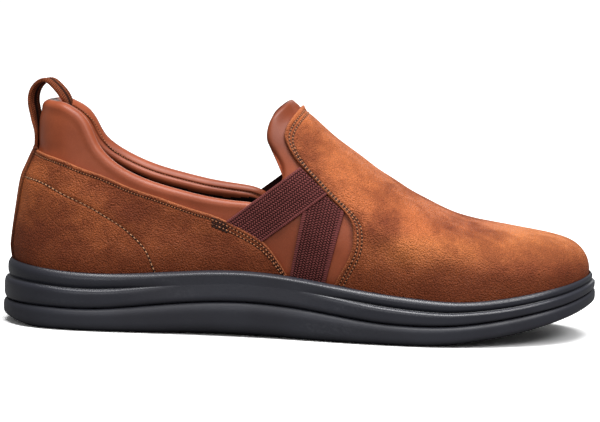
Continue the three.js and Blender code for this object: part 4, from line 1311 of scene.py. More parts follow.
def loop_mesh(finish):
    """Woven tape up the back of the collar, over, and down inside it."""
    top = rise_height(COLLAR_LINE[0][2])

    def at(height, offset):
        return layer(-1, 0.0, level_at(-1, 0.0, height), offset)

    foot = at(rise_height(QUARTER_LINE[0][2] - 0.004), FIT_GAP + TAPE[1] / 2)
    low = at(rise_height(QUARTER_LINE[0][2] + 0.085), FIT_GAP + TAPE[1] / 2)
    crown, rear = top + LOOP_CROWN, foot[0] - LOOP_BACK

    def free(x, share):
        return np.array((x, 0, mix(low[2], crown, share)))

    def inside(drop):
        return at(top - drop, -COLLAR_PAD - 0.7 * MM - TAPE[1] / 2)

    route = [foot, low, free(mix(low[0], rear, 0.6), 0.35)]
    route += [free(rear + LOOP_SPAN * x, z) for x, z in ((0, 0.6), (0.12, 0.85), (0.5, 1.0), (0.88, 0.9))]
    route += [inside(0) + np.array((0.3 * MM, 0, 1 * MM)), inside(5.5 * MM), inside(11 * MM)]
    line, heading, size = even_line(route, LOOP_LINES)
    face = np.stack((-heading[:, 2], 0 * heading[:, 0], heading[:, 0]), axis=-1)
    lift = smooth((line[:, 2] - low[2]) / (9 * MM))
    fall = smooth((line[:, 2] - top + 6 * MM) / (8 * MM))
    angle = LOOP_TURN * np.where(np.arange(len(line)) < len(line) // 2, lift, fall)
    middle = at(top, 0)[0] + COLLAR_PAD / 2
    corner = np.linspace(0, 2 * np.pi, LOOP_ROUND, endpoint=False)
    wide = np.sign(np.cos(corner)) * np.abs(np.cos(corner)) ** TAPE_SQUARE * TAPE[0] / 2
    deep = np.sign(np.sin(corner)) * np.abs(np.sin(corner)) ** TAPE_SQUARE * TAPE[1] / 2
    along = np.linspace(0, size, len(line))[:, None]
    row = np.floor(wide / TAPE_RIB)
    weave = np.abs(np.sin(np.pi * (along / TAPE_STEP + 0.5 * (row % 2)))) ** 0.7
    weave = weave * np.abs(np.sin(np.pi * wide / TAPE_RIB)) ** 0.5
    grown = 1 + 0.3 * (weave - 0.7)
    out = (deep * grown)[..., None]
    spot = line[:, None] + face[:, None] * out
    y = spot[..., 1] + wide
    x = spot[..., 0] - middle
    turned = angle[:, None]
    points = np.stack(
        (
            middle + x * np.cos(turned) - y * np.sin(turned),
            x * np.sin(turned) + y * np.cos(turned),
            spot[..., 2],
        ),
        axis=-1,
    )
    skin = Skin("weave")
    skin.grid(points, wrap=True, weave=weave)
    for row_index, flipped in ((0, False), (-1, True)):
        ring = points[row_index]
        front = ring[: LOOP_ROUND // 2 + 1]
        rear_half = ring[np.r_[0, np.arange(LOOP_ROUND - 1, LOOP_ROUND // 2 - 1, -1)]]
        skin.grid(np.stack((front, mix(front, rear_half, 0.5), rear_half)), turned=flipped, weave=0.3)
    return skin.finish("pull_loop_tape", [finish])


# Stitches: sizes of the tree before a row sets its own
THREAD_SIZES = (("Pitch", 2e-3), ("Length", 1.5e-3), ("Width", 6e-4), ("Height", 5e-4), ("Start", 0.0))


def thread_tree():
    """Geometry Nodes that lay one small sewn shape after another along marked lines."""
    tree = bpy.data.node_groups.new("sewn_row", "GeometryNodeTree")
    face = tree.interface
    face.new_socket("Geometry", in_out="INPUT", socket_type="NodeSocketGeometry")
    for name, value in THREAD_SIZES:
        socket = face.new_socket(name, in_out="INPUT", socket_type="NodeSocketFloat")
        socket.default_value = value
    seed = face.new_socket("Seed", in_out="INPUT", socket_type="NodeSocketInt")
    seed.default_value = 7
    face.new_socket("Material", in_out="INPUT", socket_type="NodeSocketMaterial")
    face.new_socket("Geometry", in_out="OUTPUT", socket_type="NodeSocketGeometry")
    given = put(tree, "NodeGroupInput").outputs
    curve = put(tree, "GeometryNodeMeshToCurve", {"Mesh": given["Geometry"]})
    spots = put(tree, "GeometryNodeCurveToPoints", {"Curve": curve.outputs[0]}, mode="LENGTH")
    tree.links.new(given["Pitch"], spots.inputs["Length"])
    tangent = spots.outputs["Tangent"]
    up = put(tree, "GeometryNodeInputNamedAttribute", {"Name": "up"}, data_type="FLOAT_VECTOR").outputs[0]
    first = put(tree, "FunctionNodeAlignRotationToVector", {"Vector": tangent}, axis="X")
    sent = {"Rotation": first.outputs[0], "Vector": up}
    turned = put(tree, "FunctionNodeAlignRotationToVector", sent, axis="Z", pivot_axis="X")
    forward = put(tree, "ShaderNodeVectorMath", {0: tangent, "Scale": given["Start"]}, operation="SCALE")
    sent = {"Geometry": spots.outputs["Points"], "Offset": forward.outputs[0]}
    moved = put(tree, "GeometryNodeSetPosition", sent)
    ball = put(tree, "GeometryNodeMeshUVSphere", {"Segments": 6, "Rings": 4, "Radius": 0.5})
    soft = put(tree, "GeometryNodeSetShadeSmooth", {"Geometry": ball.outputs["Mesh"]})
    sent = {"X": given["Length"], "Y": given["Width"], "Z": given["Height"]}
    size = put(tree, "ShaderNodeCombineXYZ", sent)
    shape = put(tree, "GeometryNodeTransform", {"Geometry": soft.outputs[0], "Scale": size.outputs[0]})
    vary = put(tree, "FunctionNodeRandomValue", data_type="FLOAT")
    vary.inputs[2].default_value, vary.inputs[3].default_value = 0.85, 1.12
    tree.links.new(given["Seed"], vary.inputs["Seed"])
    sent = {"Points": moved.outputs[0], "Instance": shape.outputs[0]}
    sent.update({"Rotation": turned.outputs[0], "Scale": vary.outputs[1]})
    laid = put(tree, "GeometryNodeInstanceOnPoints", sent)
    real = put(tree, "GeometryNodeRealizeInstances", {"Geometry": laid.outputs[0]})
    sent = {"Geometry": real.outputs[0], "Material": given["Material"]}
    last = put(tree, "GeometryNodeSetMaterial", sent)
    put(tree, "NodeGroupOutput", {"Geometry": last.outputs[0]})
    return tree


def sewn(name, tree, rows, material, **sizes):
    """Plain mesh of sewn shapes along rows of points with the way they face."""
    mesh = bpy.data.meshes.new(name)
    points = np.concatenate([one[0] for one in rows])
    faces_up = np.concatenate([one[1] for one in rows])
    edges, count = [], 0
    for one in rows:
        index = np.arange(len(one[0]) - 1) + count
        edges.append(np.stack((index, index + 1), axis=1))
        count += len(one[0])
    mesh.from_pydata(points.tolist(), np.concatenate(edges).tolist(), [])
    up = mesh.attributes.new("up", "FLOAT_VECTOR", "POINT")
    up.data.foreach_set("vector", faces_up.astype(np.float32).ravel())
    guide = bpy.data.objects.new(name + "_guide", mesh)
    bpy.context.scene.collection.objects.link(guide)
    modifier = guide.modifiers.new("sewn_row", "NODES")
    modifier.node_group = tree
    socket = {one.name: one.identifier for one in tree.interface.items_tree if one.in_out == "INPUT"}
    for key, value in sizes.items():
        modifier[socket[key.capitalize()]] = value
    modifier[socket["Material"]] = material
    graph = bpy.context.evaluated_depsgraph_get()
    plain = bpy.data.meshes.new_from_object(guide.evaluated_get(graph), depsgraph=graph)
    guide.modifiers.clear()
    bpy.data.objects.remove(guide)
    bpy.data.meshes.remove(mesh)
    plain.name = name
    plain.materials.clear()
    plain.materials.append(material)
    piece = bpy.data.objects.new(name, plain)
    bpy.context.scene.collection.objects.link(piece)
    return piece


def even(points, facing, pitch):
    """The same row in steps no longer than a third of its pitch."""
    run = summed(steps_of(points))
    at = np.linspace(0, run[-1], max(3, int(run[-1] / (pitch / 3))))
    spot, way = between(at, run, points), between(at, run, facing)
    return spot, way / np.linalg.norm(way, axis=1, keepdims=True)


# Node helpers and the effects that several materials share
def put(tree, kind, inputs=None, **settings):
    """New node with its settings, and values or links on its inputs."""
    node = tree.nodes.new(kind)
    for key, value in settings.items():
        setattr(node, key, value)
    for key, value in (inputs or {}).items():
        if isinstance(value, bpy.types.NodeSocket):
            tree.links.new(value, node.inputs[key])
        else:
            node.inputs[key].default_value = value
    return node


def effect(name, inputs, outputs):
    """Empty shader group with named number inputs and outputs."""
    tree = bpy.data.node_groups.new(name, "ShaderNodeTree")
    for key, value in inputs.items():
        socket = tree.interface.new_socket(key, in_out="INPUT", socket_type="NodeSocketFloat")
        socket.default_value = value
    for key in outputs:
        tree.interface.new_socket(key, in_out="OUTPUT", socket_type="NodeSocketFloat")
    given = put(tree, "NodeGroupInput").outputs
    place = put(tree, "ShaderNodeTexCoord").outputs["Object"]
    return tree, given, place


def maths(tree, kind, a, b=0.0, c=0.0):
    return put(tree, "ShaderNodeMath", {0: a, 1: b, 2: c}, operation=kind).outputs[0]


def ramp(tree, value, low, high, start=0.0, end=1.0):
    """Value brought from one range to another, smoothly and within its ends."""
    sent = {"Value": value, "From Min": low, "From Max": high, "To Min": start, "To Max": end}
    return put(tree, "ShaderNodeMapRange", sent, interpolation_type="SMOOTHSTEP").outputs[0]


def blend(tree, share, one, other, kind="MIX"):
    """Colour between two colours, by a share."""
    node = put(tree, "ShaderNodeMix", data_type="RGBA", blend_type=kind)
    for index, value in ((0, share), (6, one), (7, other)):
        if isinstance(value, bpy.types.NodeSocket):
            tree.links.new(value, node.inputs[index])
        elif index:
            node.inputs[index].default_value = (*value, 1)
        else:
            node.inputs[index].default_value = value
    return node.outputs[2]


def grain_effect():
    """Pebbled grain of hide: cells of one size with finer pores between them."""
    tree, given, place = effect("hide_grain", {"Cells": 1200.0, "Pores": 4000.0}, ("Height", "Speckle"))
    cells = put(tree, "ShaderNodeTexVoronoi", {"Vector": place, "Scale": given["Cells"]}, feature="SMOOTH_F1")
    cells.inputs["Smoothness"].default_value = 0.6
    pores = put(tree, "ShaderNodeTexNoise", {"Vector": place, "Scale": given["Pores"], "Detail": 3.0})
    finer = maths(tree, "MULTIPLY", given["Cells"], 1.3)
    broken = put(tree, "ShaderNodeTexNoise", {"Vector": place, "Scale": finer})
    broken.inputs["Detail"].default_value = 2
    lump = maths(tree, "SUBTRACT", 1.0, cells.outputs["Distance"])
    rough = maths(tree, "MULTIPLY_ADD", pores.outputs[0], 0.5, lump)
    height = maths(tree, "MULTIPLY_ADD", broken.outputs[0], 0.9, rough)
    put(tree, "NodeGroupOutput", {"Height": height, "Speckle": ramp(tree, broken.outputs[0], 0.34, 0.66)})
    return tree


def mottle_effect():
    """Broad cloudy patches with smaller ones inside them."""
    tree, given, place = effect("mottle", {"Broad": 35.0, "Small": 170.0}, ("Mask",))
    broad = put(tree, "ShaderNodeTexNoise", {"Vector": place, "Scale": given["Broad"], "Detail": 3.0})
    small = put(tree, "ShaderNodeTexNoise", {"Vector": place, "Scale": given["Small"], "Detail": 4.0})
    both = maths(tree, "MULTIPLY_ADD", small.outputs[0], 0.3, broad.outputs[0])
    put(tree, "NodeGroupOutput", {"Mask": ramp(tree, both, 0.45, 0.85)})
    return tree


def dust_effect():
    """Thin scuffs and specks on rubbed places."""
    tree, given, place = effect("dust", {"Scale": 90.0, "Amount": 0.4}, ("Mask",))
    stretched = put(tree, "ShaderNodeMapping", {"Vector": place, "Scale": (0.35, 1.0, 1.6)})
    streak = put(tree, "ShaderNodeTexNoise", {"Vector": stretched.outputs[0], "Scale": given["Scale"]})
    streak.inputs["Detail"].default_value = 6
    finer = maths(tree, "MULTIPLY", given["Scale"], 14.0)
    speck = put(tree, "ShaderNodeTexNoise", {"Vector": place, "Scale": finer})
    scuffed, spotted = ramp(tree, streak.outputs[0], 0.5, 0.75), ramp(tree, speck.outputs[0], 0.45, 0.7)
    mask = maths(tree, "MULTIPLY", scuffed, spotted)
    put(tree, "NodeGroupOutput", {"Mask": maths(tree, "MULTIPLY", mask, given["Amount"])})
    return tree


class Paint:
    """Material with a Principled surface, and the shared effects at hand."""

    def __init__(self, name, effects, **constants):
        self.material = bpy.data.materials.new(name + "_finish")
        self.material.use_nodes = True
        self.tree = self.material.node_tree
        self.surface = self.tree.nodes["Principled BSDF"]
        self.effects = effects
        for key, value in constants.items():
            self.surface.inputs[key.replace("_", " ")].default_value = value
        self.place = put(self.tree, "ShaderNodeTexCoord").outputs["Object"]

    def effect(self, name, **values):
        node = put(self.tree, "ShaderNodeGroup")
        node.node_tree = self.effects[name]
        for key, value in values.items():
            node.inputs[key].default_value = value
        return node.outputs

    def mask(self, name):
        return put(self.tree, "ShaderNodeAttribute", attribute_name=name).outputs["Fac"]

    def noise(self, scale):
        given = {"Vector": self.place, "Scale": scale, "Detail": 2.0}
        return put(self.tree, "ShaderNodeTexNoise", given).outputs[0]

    def spot(self):
        """Object coordinates, one by one."""
        return put(self.tree, "ShaderNodeSeparateXYZ", {"Vector": self.place}).outputs

    def set(self, **links):
        for key, value in links.items():
            self.tree.links.new(value, self.surface.inputs[key.replace("_", " ")])

    def bump(self, height, depth, strength=1.0):
        node = put(self.tree, "ShaderNodeBump", {"Height": height, "Distance": depth, "Strength": strength})
        self.set(Normal=node.outputs[0])


# Painted highlights of the suede, lighter where light falls from above, in metres: the heights
# and the places along at which each starts and is full, and how much lighter it gets there.
PAINTED_HIGHLIGHTS = (
    ((0.045, 0.1), (-0.02, 0.03), 0.3),  # instep
    ((0.034, 0.046), (0.075, 0.105), 0.75),  # top of the toe
    ((0.031, 0.04), (0.02, 0.05), 0.5),  # bulge beside the ball of the foot
)
BULGE_TOP = (0.052, 0.043)  # where the bulge's painted highlight ends, and where it is full again
SOLE_SHADE = (0.052, 0.022)  # heights between which the suede darkens towards the sole


def suede_finish(effects, look):
    """Brushed hide, cloudy partly in its own tone and partly with painted light and shade of folds; painted
    highlights on instep, toe and bulge, painted shade towards the sole, darker towards the quarter's front,
    painted shade in the stitch lines, and a cut edge lighter partly in its own colour and partly by a painted
    highlight.
    """
    paint = Paint("suede", effects, IOR=1.45, Specular_IOR_Level=0.28)
    tree = paint.tree
    grain = paint.effect("grain", Cells=1450.0, Pores=4200.0)
    cloud = paint.effect("mottle", Broad=34.0, Small=210.0)["Mask"]
    x, _, z = paint.spot()
    # cloudy patches: partly the hide's own tone, partly painted light and shade of soft folds
    colour = blend(tree, cloud, look.suede_deep_and_shade, look.suede)
    # painted highlights: lighter where light falls on the instep, the top of the toe and the bulge
    high, toe, bulge = (
        maths(tree, "MULTIPLY", ramp(tree, z, *rise), ramp(tree, x, *run, 0.0, amount))
        for rise, run, amount in PAINTED_HIGHLIGHTS
    )
    bulge = maths(tree, "MULTIPLY", bulge, ramp(tree, z, *BULGE_TOP))
    painted_highlight = maths(tree, "MAXIMUM", maths(tree, "MAXIMUM", high, toe), bulge)
    painted_highlight = maths(tree, "MULTIPLY", painted_highlight, ramp(tree, cloud, 0.0, 1.0, 0.45, 1.0))
    colour = blend(tree, painted_highlight, colour, look.suede_painted_highlight)
    # painted shade: the suede darker towards the sole
    low = maths(tree, "MULTIPLY", ramp(tree, z, *SOLE_SHADE), 0.82)
    colour = blend(tree, low, colour, look.suede_deep_and_shade)
    front = maths(tree, "MULTIPLY", ramp(tree, x, -0.085, -0.05), ramp(tree, x, 0.0, -0.02))
    colour = blend(tree, maths(tree, "MULTIPLY", front, 0.4), colour, look.suede_deep_and_shade)
    speckle = ramp(tree, grain["Speckle"], 0.0, 1.0, 0.8, 1.16)
    colour = shaded(tree, colour, speckle)
    # cut edge lighter: partly the cut suede's own colour, partly a painted highlight where the edge catches
    # light
    edge = ramp(tree, paint.mask("from_edge"), 0.0009, 0.0002)
    colour = blend(tree, maths(tree, "MULTIPLY", edge, 0.4), colour, look.suede_cut_and_highlight)
    # painted shade in the stitch troughs and along the backstay's edge
    colour = shaded(tree, colour, ramp(tree, paint.mask("pulled"), 0.3, 1.0, 1.0, 0.42))
    paint.set(Base_Color=colour, Roughness=ramp(tree, cloud, 0.0, 1.0, 0.7, 0.46))
    paint.bump(grain["Height"], 0.00045, 1.0)
    return paint.material


def shaded(tree, colour, value):
    """Colour made darker or lighter by a value."""
    grey = put(tree, "ShaderNodeCombineColor", {0: value, 1: value, 2: value}).outputs[0]
    return blend(tree, 1.0, colour, grey, "MULTIPLY")


def leather_finish(effects, look):
    """Smooth leather with a fine grain and a light coat, and painted shade on the instep tab."""
    paint = Paint("smooth_leather", effects, IOR=1.46, Coat_Roughness=0.4, Specular_IOR_Level=0.36)
    tree = paint.tree
    grain = paint.effect("grain", Cells=2300.0, Pores=6000.0)
    cloud = paint.effect("mottle", Broad=28.0, Small=120.0)["Mask"]
    colour = blend(tree, cloud, look.leather_dark, look.leather)
    colour = shaded(tree, colour, ramp(tree, grain["Speckle"], 0.0, 1.0, 0.93, 1.04))
    x, _, z = paint.spot()
    # painted shade on the up-facing instep tab, which the lamps light brightly
    tab = maths(tree, "MULTIPLY", ramp(tree, z, 0.07, 0.09), ramp(tree, x, -0.04, -0.02))
    colour = shaded(tree, colour, ramp(tree, tab, 0.0, 1.0, 1.0, 0.74))
    paint.set(Base_Color=colour, Roughness=ramp(tree, cloud, 0.0, 1.0, 0.44, 0.36))
    paint.set(Coat_Weight=ramp(tree, cloud, 0.0, 1.0, 0.05, 0.14))
    paint.bump(grain["Height"], 0.00005, 0.6)
    return paint.material


def cloth_finish(name, effects, colours):
    """Textile whose raised yarns and gaps come from the piece's own weave; the gaps' dark colour is partly
    the ground yarn and partly painted shade between the yarns.
    """
    paint = Paint(name, effects, IOR=1.4, Specular_IOR_Level=0.15)
    tree = paint.tree
    yarn = paint.noise(2600.0)
    cloud = paint.effect("mottle", Broad=60.0, Small=400.0)["Mask"]
    # dark gaps: partly the ground yarn's colour, partly painted shade between the raised yarns
    colour = blend(tree, ramp(tree, paint.mask("weave"), 0.2, 0.9), colours[0], colours[1])
    colour = shaded(tree, colour, ramp(tree, yarn, 0.3, 0.7, 0.78, 1.2))
    colour = shaded(tree, colour, ramp(tree, cloud, 0.0, 1.0, 0.9, 1.06))
    paint.set(Base_Color=colour, Roughness=ramp(tree, yarn, 0.3, 0.7, 0.77, 0.85))
    paint.bump(yarn, 0.00012, 0.6)
    return paint.material


def lining_finish(name, effects, colours):
    """Flat textile with a fine square weave of its own."""
    paint = Paint(name, effects, IOR=1.4)
    tree = paint.tree
    weave = put(tree, "ShaderNodeTexVoronoi", {"Vector": paint.place, "Scale": 1500.0}, distance="CHEBYCHEV")
    weave.inputs["Randomness"].default_value = 0.25
    cloud = paint.effect("mottle", Broad=40.0, Small=300.0)["Mask"]
    colour = blend(tree, cloud, colours[0], colours[1])
    colour = shaded(tree, colour, ramp(tree, weave.outputs["Distance"], 0.1, 0.6, 1.15, 0.75))
    paint.set(Base_Color=colour, Roughness=ramp(tree, cloud, 0.0, 1.0, 0.8, 0.92))
    paint.bump(weave.outputs["Distance"], 0.0001, 0.6)
    return paint.material


def sole_finish(name, effects, colours, roughness):
    """Moulded rubber or foam, satin, with a fine skin, scuffs and a trace of dust."""
    paint = Paint(name, effects, IOR=1.5, Specular_IOR_Level=0.5)
    tree = paint.tree
    grain = paint.effect("grain", Cells=3200.0, Pores=7000.0)
    cloud = paint.effect("mottle", Broad=22.0, Small=90.0)["Mask"]
    dust = paint.effect("dust", Scale=70.0, Amount=0.5)["Mask"]
    colour = blend(tree, cloud, colours[0], colours[1])
    colour = blend(tree, maths(tree, "MULTIPLY", dust, 0.5), colour, colours[2])
    paint.set(Base_Color=colour)
    rough = maths(tree, "ADD", ramp(tree, cloud, 0.0, 1.0, roughness + 0.07, roughness - 0.04), dust)
    paint.set(Roughness=rough)
    paint.bump(grain["Height"], 0.00004, 0.5)
    return paint.material


def thread_finish(name, effects, colour):
    """Sewing thread, a little uneven along its twist."""
    paint = Paint(name, effects, IOR=1.45, Roughness=0.6)
    twist = ramp(paint.tree, paint.noise(3000.0), 0.3, 0.7, 0.75, 1.2)
    paint.set(Base_Color=shaded(paint.tree, colour, twist))
    return paint.material


# Sizes and colours that a user would change
def shade(red, green, blue):
    """Colour as a screen shows it, 0 to 255, as the linear colour of a material."""
    share = (v / 255 for v in (red, green, blue))
    return tuple(v / 12.92 if v <= 0.04045 else ((v + 0.055) / 1.055) ** 2.4 for v in share)


def colour_prop(name, text, value):
    given = {"name": name, "description": text, "default": shade(*value)}
    return bpy.props.FloatVectorProperty(subtype="COLOR", size=3, min=0, max=1, **given)


def size_prop(name, text, value):
    given = {"name": name, "description": text, "default": value}
    return bpy.props.FloatProperty(unit="LENGTH", min=0, precision=5, **given)


class ShoeSizes(bpy.types.PropertyGroup):
    """Sizes of the sewing and the weaves."""

    light_pitch: size_prop("Decorative stitch", "Pitch of the light decorative row", 2.05 * MM)
    fine_pitch: size_prop("Fine stitch", "Pitch of the row along the quarter's top", 1.35 * MM)
    edge_pitch: size_prop("Edge stitch", "Pitch of the double rows along suede edges", 1.7 * MM)
    thread: size_prop("Thread", "Thickness of the sewing thread", 0.7 * MM)
    rib: size_prop("Elastic rib", "Width of one rib of the woven elastic", 1.4 * MM)


class ShoeColours(bpy.types.PropertyGroup):
    """Colours of the materials."""

    suede: colour_prop("Suede", "Main colour of vamp and quarter", (194, 105, 57))
    # painted highlight: the suede's colour where light falls on the instep, the top of the toe and the bulge
    suede_painted_highlight: colour_prop("Suede, highlit", "Suede where light brushes over the instep", (219, 132, 70))
    # deep patches of the suede's own tone, and painted shade towards the sole; also the darker band towards
    # the quarter's front
    suede_deep_and_shade: colour_prop("Suede, deep", "Suede in its deep patches and at the sole", (126, 59, 31))
    # the cut edge's own colour with a painted highlight where the edge catches light
    suede_cut_and_highlight: colour_prop("Suede, cut edge", "Cut edge of the suede", (190, 118, 76))
    leather: colour_prop("Smooth leather", "Collar, gussets and instep edge", (172, 88, 55))
    leather_dark: colour_prop("Smooth leather, deep", "Smooth leather in its deeper patches", (148, 72, 44))
    elastic: colour_prop("Elastic yarn", "Raised yarns of the straps", (126, 68, 66))
    # partly the ground yarn's colour, partly painted shade between the straps' yarns
    elastic_ground_and_shade: colour_prop("Elastic ground", "Ground between the straps' yarns", (22, 8, 8))
    tape: colour_prop("Tape yarn", "Raised yarns of the pull loop", (150, 80, 50))
    # partly the ground yarn's colour, partly painted shade between the loop's yarns
    tape_ground_and_shade: colour_prop("Tape ground", "Ground between the pull loop's yarns", (44, 20, 12))
    sole: colour_prop("Sole", "Outsole and midsole", (50, 51, 59))
    sole_dark: colour_prop("Sole, deep", "Deeper patches of the sole", (42, 42, 50))
    sole_dust: colour_prop("Sole, scuffed", "Scuffs and dust on the sole", (96, 98, 104))
    footbed: colour_prop("Footbed", "Insole", (72, 44, 32))
    # near-black: partly the lining's own colour, partly painted shade inside the shoe
    lining_and_shade: colour_prop("Lining", "Textile lining inside", (34, 19, 15))
    thread_light: colour_prop("Light thread", "Decorative row", (200, 144, 104))
    thread_edge: colour_prop("Edge thread", "Rows along the suede's edges", (188, 120, 80))
    # near-black: the tack rows' dark thread, and painted shade in the stitch holes
    hole_shade_and_dark_thread: colour_prop("Stitch hole", "Holes between the stitches", (34, 15, 9))


class SHOE_OT_finishes(bpy.types.Operator):
    """Make the materials and the effects that they share"""

    bl_idname = "shoe.finishes"
    bl_label = "Materials"

    def execute(self, context):
        look = context.scene.shoe_colours
        effects = {"grain": grain_effect(), "mottle": mottle_effect(), "dust": dust_effect()}
        suede_finish(effects, look)
        leather_finish(effects, look)
        cloth_finish("elastic", effects, (look.elastic_ground_and_shade, look.elastic))
        cloth_finish("woven_tape", effects, (look.tape_ground_and_shade, look.tape))
        lining_finish("lining_and_shade", effects, (shaded_colour(look.lining_and_shade, 0.6), look.lining_and_shade))
        lining_finish("footbed", effects, (shaded_colour(look.footbed, 0.7), look.footbed))
        tones = (look.sole_dark, look.sole, look.sole_dust)
        sole_finish("outsole_rubber", effects, tones, 0.45)
        sole_finish("midsole_foam", effects, tones, 0.33)
        thread_finish("thread_light", effects, look.thread_light)
        thread_finish("thread_edge", effects, look.thread_edge)
        thread_finish("hole_shade_and_dark_thread", effects, look.hole_shade_and_dark_thread)
        return {"FINISHED"}


def shaded_colour(colour, share):
    return tuple(share * v for v in colour)


def finish_named(name):
    return bpy.data.materials[name + "_finish"]


class SHOE_OT_sole(bpy.types.Operator):
    """Build the outsole, the cupped midsole and the footbed"""

    bl_idname = "shoe.sole"
    bl_label = "Sole"

    def execute(self, context):
        settle(outsole_mesh(finish_named("outsole_rubber")), "outsole_rubber", "outsole")
        settle(midsole_mesh(finish_named("midsole_foam")), "midsole_foam", "midsole")
        settle(insole_mesh(finish_named("footbed")), "footbed", "insole")
        return {"FINISHED"}


class SHOE_OT_upper(bpy.types.Operator):
    """Build the hollow smooth-leather upper with its padded collar"""

    bl_idname = "shoe.upper"
    bl_label = "Smooth leather upper"

    def execute(self, context):
        piece = upper_mesh(finish_named("smooth_leather"), finish_named("lining_and_shade"))
        settle(piece, "smooth_leather", "upper")
        return {"FINISHED"}


class SHOE_OT_suede(bpy.types.Operator):
    """Build the suede vamp, the quarter and the strip at the back of the heel"""

    bl_idname = "shoe.suede"
    bl_label = "Suede"

    def execute(self, context):
        rows = suede_rows()
        settle(vamp_mesh(finish_named("suede"), rows), "suede", "vamp")
        settle(quarter_mesh(finish_named("suede"), rows), "suede", "quarter")
        settle(backstay_mesh(finish_named("suede")), "suede")
        return {"FINISHED"}


class SHOE_OT_straps(bpy.types.Operator):
    """Build the four woven elastic straps"""

    bl_idname = "shoe.straps"
    bl_label = "Elastic straps"

    def execute(self, context):
        rib = context.scene.shoe_sizes.rib
        elastic = finish_named("elastic")
        for hand, side in ((-1, "lateral"), (1, "medial")):
            piece = strap_mesh(f"long_elastic_{side}", elastic, hand, LONG_SIDES, LONG_LEVELS, rib)
            settle(piece, "elastic", f"long_strap_{side}")
            piece = strap_mesh(f"short_elastic_{side}", elastic, hand, SHORT_SIDES, SHORT_LEVELS, rib)
            settle(piece, "elastic", f"short_strap_{side}")
        return {"FINISHED"}


class SHOE_OT_loop(bpy.types.Operator):
    """Build the woven pull loop at the back of the collar"""

    bl_idname = "shoe.loop"
    bl_label = "Pull loop"

    def execute(self, context):
        settle(loop_mesh(finish_named("woven_tape")), "woven_tape", "pull_loop")
        return {"FINISHED"}


class SHOE_OT_stitches(bpy.types.Operator):
    """Sew the decorative line, the edge rows and the seam inside the collar"""

    bl_idname = "shoe.stitches"
    bl_label = "Stitches"

    def execute(self, context):
        sizes = context.scene.shoe_sizes
        tree = thread_tree()
        kinds = {
            "light": ("thread_light", sizes.light_pitch, 0.74),
            "fine": ("thread_edge", sizes.fine_pitch, 0.62),
            "double": ("thread_edge", sizes.edge_pitch, 0.72),
            "vamp": ("thread_edge", sizes.edge_pitch, 0.72),
            "tack": ("hole_shade_and_dark_thread", sizes.fine_pitch, 0.6),
            "collar": ("thread_edge", sizes.fine_pitch, 0.75),
        }
        rows = {kind: [] for kind in kinds}
        for hand, turn, level, kind in suede_rows():
            facing = liner_normal(hand, turn, level)
            rows[kind].append(even(stand(hand, turn, level, OVERLAY - 0.12 * MM), facing, kinds[kind][1]))
        for hand in (-1, 1):
            rows["collar"].append(even(*inner_seam_row(hand), sizes.fine_pitch))
        for kind, (finish, pitch, share) in kinds.items():
            thick = sizes.thread * (0.8 if kind in ("fine", "collar") else 1)
            shapes = (
                ("stitches", finish, share * pitch, thick, 0.9 * thick, 0.0),
                # dark shapes between the stitches: painted shade of the stitch holes
                ("painted_hole_shades", "hole_shade_and_dark_thread", 0.5 * pitch, 1.1 * thick, 0.35 * thick, 0.5 * pitch),
            )
            for name, look, length, width, height, start in shapes:
                given = {"pitch": pitch, "length": length, "width": width, "height": height, "start": start}
                piece = sewn(f"{name}_{kind}", tree, rows[kind], finish_named(look), **given)
                settle(piece, "smooth_leather" if kind == "collar" else "suede")
        return {"FINISHED"}


class SHOE_OT_stage(bpy.types.Operator):
    """Set up the pale floor, the lights and the camera"""

    bl_idname = "shoe.stage"
    bl_label = "Stage"

    def execute(self, context):
        make_floor()
        make_world()
        make_lights()
        make_camera()
        return {"FINISHED"}


FLOOR_RADIUS = 6.0
# The floor is bright to the eye and throws less light back on the shoe.
FLOOR_SEEN, FLOOR_FELT = (1.3, 1.3, 1.3), (0.16, 0.16, 0.16)
WORLD_SEEN, WORLD_FELT = 1.1, 0.16


def make_floor():
    mesh = bpy.data.meshes.new("floor")
    work = bmesh.new()
    bmesh.ops.create_circle(work, cap_ends=True, segments=96, radius=FLOOR_RADIUS)
    work.to_mesh(mesh)
    work.free()
    floor = bpy.data.objects.new("floor", mesh)
    bpy.context.scene.collection.objects.link(floor)
    material = bpy.data.materials.new("floor")
    material.use_nodes = True
    tree = material.node_tree
    surface = tree.nodes["Principled BSDF"].inputs
    seen = put(tree, "ShaderNodeLightPath").outputs["Is Camera Ray"]
    tree.links.new(blend(tree, seen, FLOOR_FELT, FLOOR_SEEN), surface["Base Color"])
    surface["Roughness"].default_value = 0.9
    surface["Specular IOR Level"].default_value = 0.0
    mesh.materials.append(material)


def make_world():
    """White to the camera, and a softer light all round for the shoe."""
    world = bpy.data.worlds.new("studio")
    world.use_nodes = True
    tree = world.node_tree
    tree.nodes.clear()
    path = put(tree, "ShaderNodeLightPath")
    seen = put(tree, "ShaderNodeBackground", {"Color": (1, 1, 1, 1), "Strength": WORLD_SEEN})
    felt = put(tree, "ShaderNodeBackground", {"Color": (1, 1, 1, 1), "Strength": WORLD_FELT})
    both = put(tree, "ShaderNodeMixShader", {0: path.outputs["Is Camera Ray"]})
    tree.links.new(felt.outputs[0], both.inputs[1])
    tree.links.new(seen.outputs[0], both.inputs[2])
    put(tree, "ShaderNodeOutputWorld", {"Surface": both.outputs[0]})
    bpy.context.scene.world = world


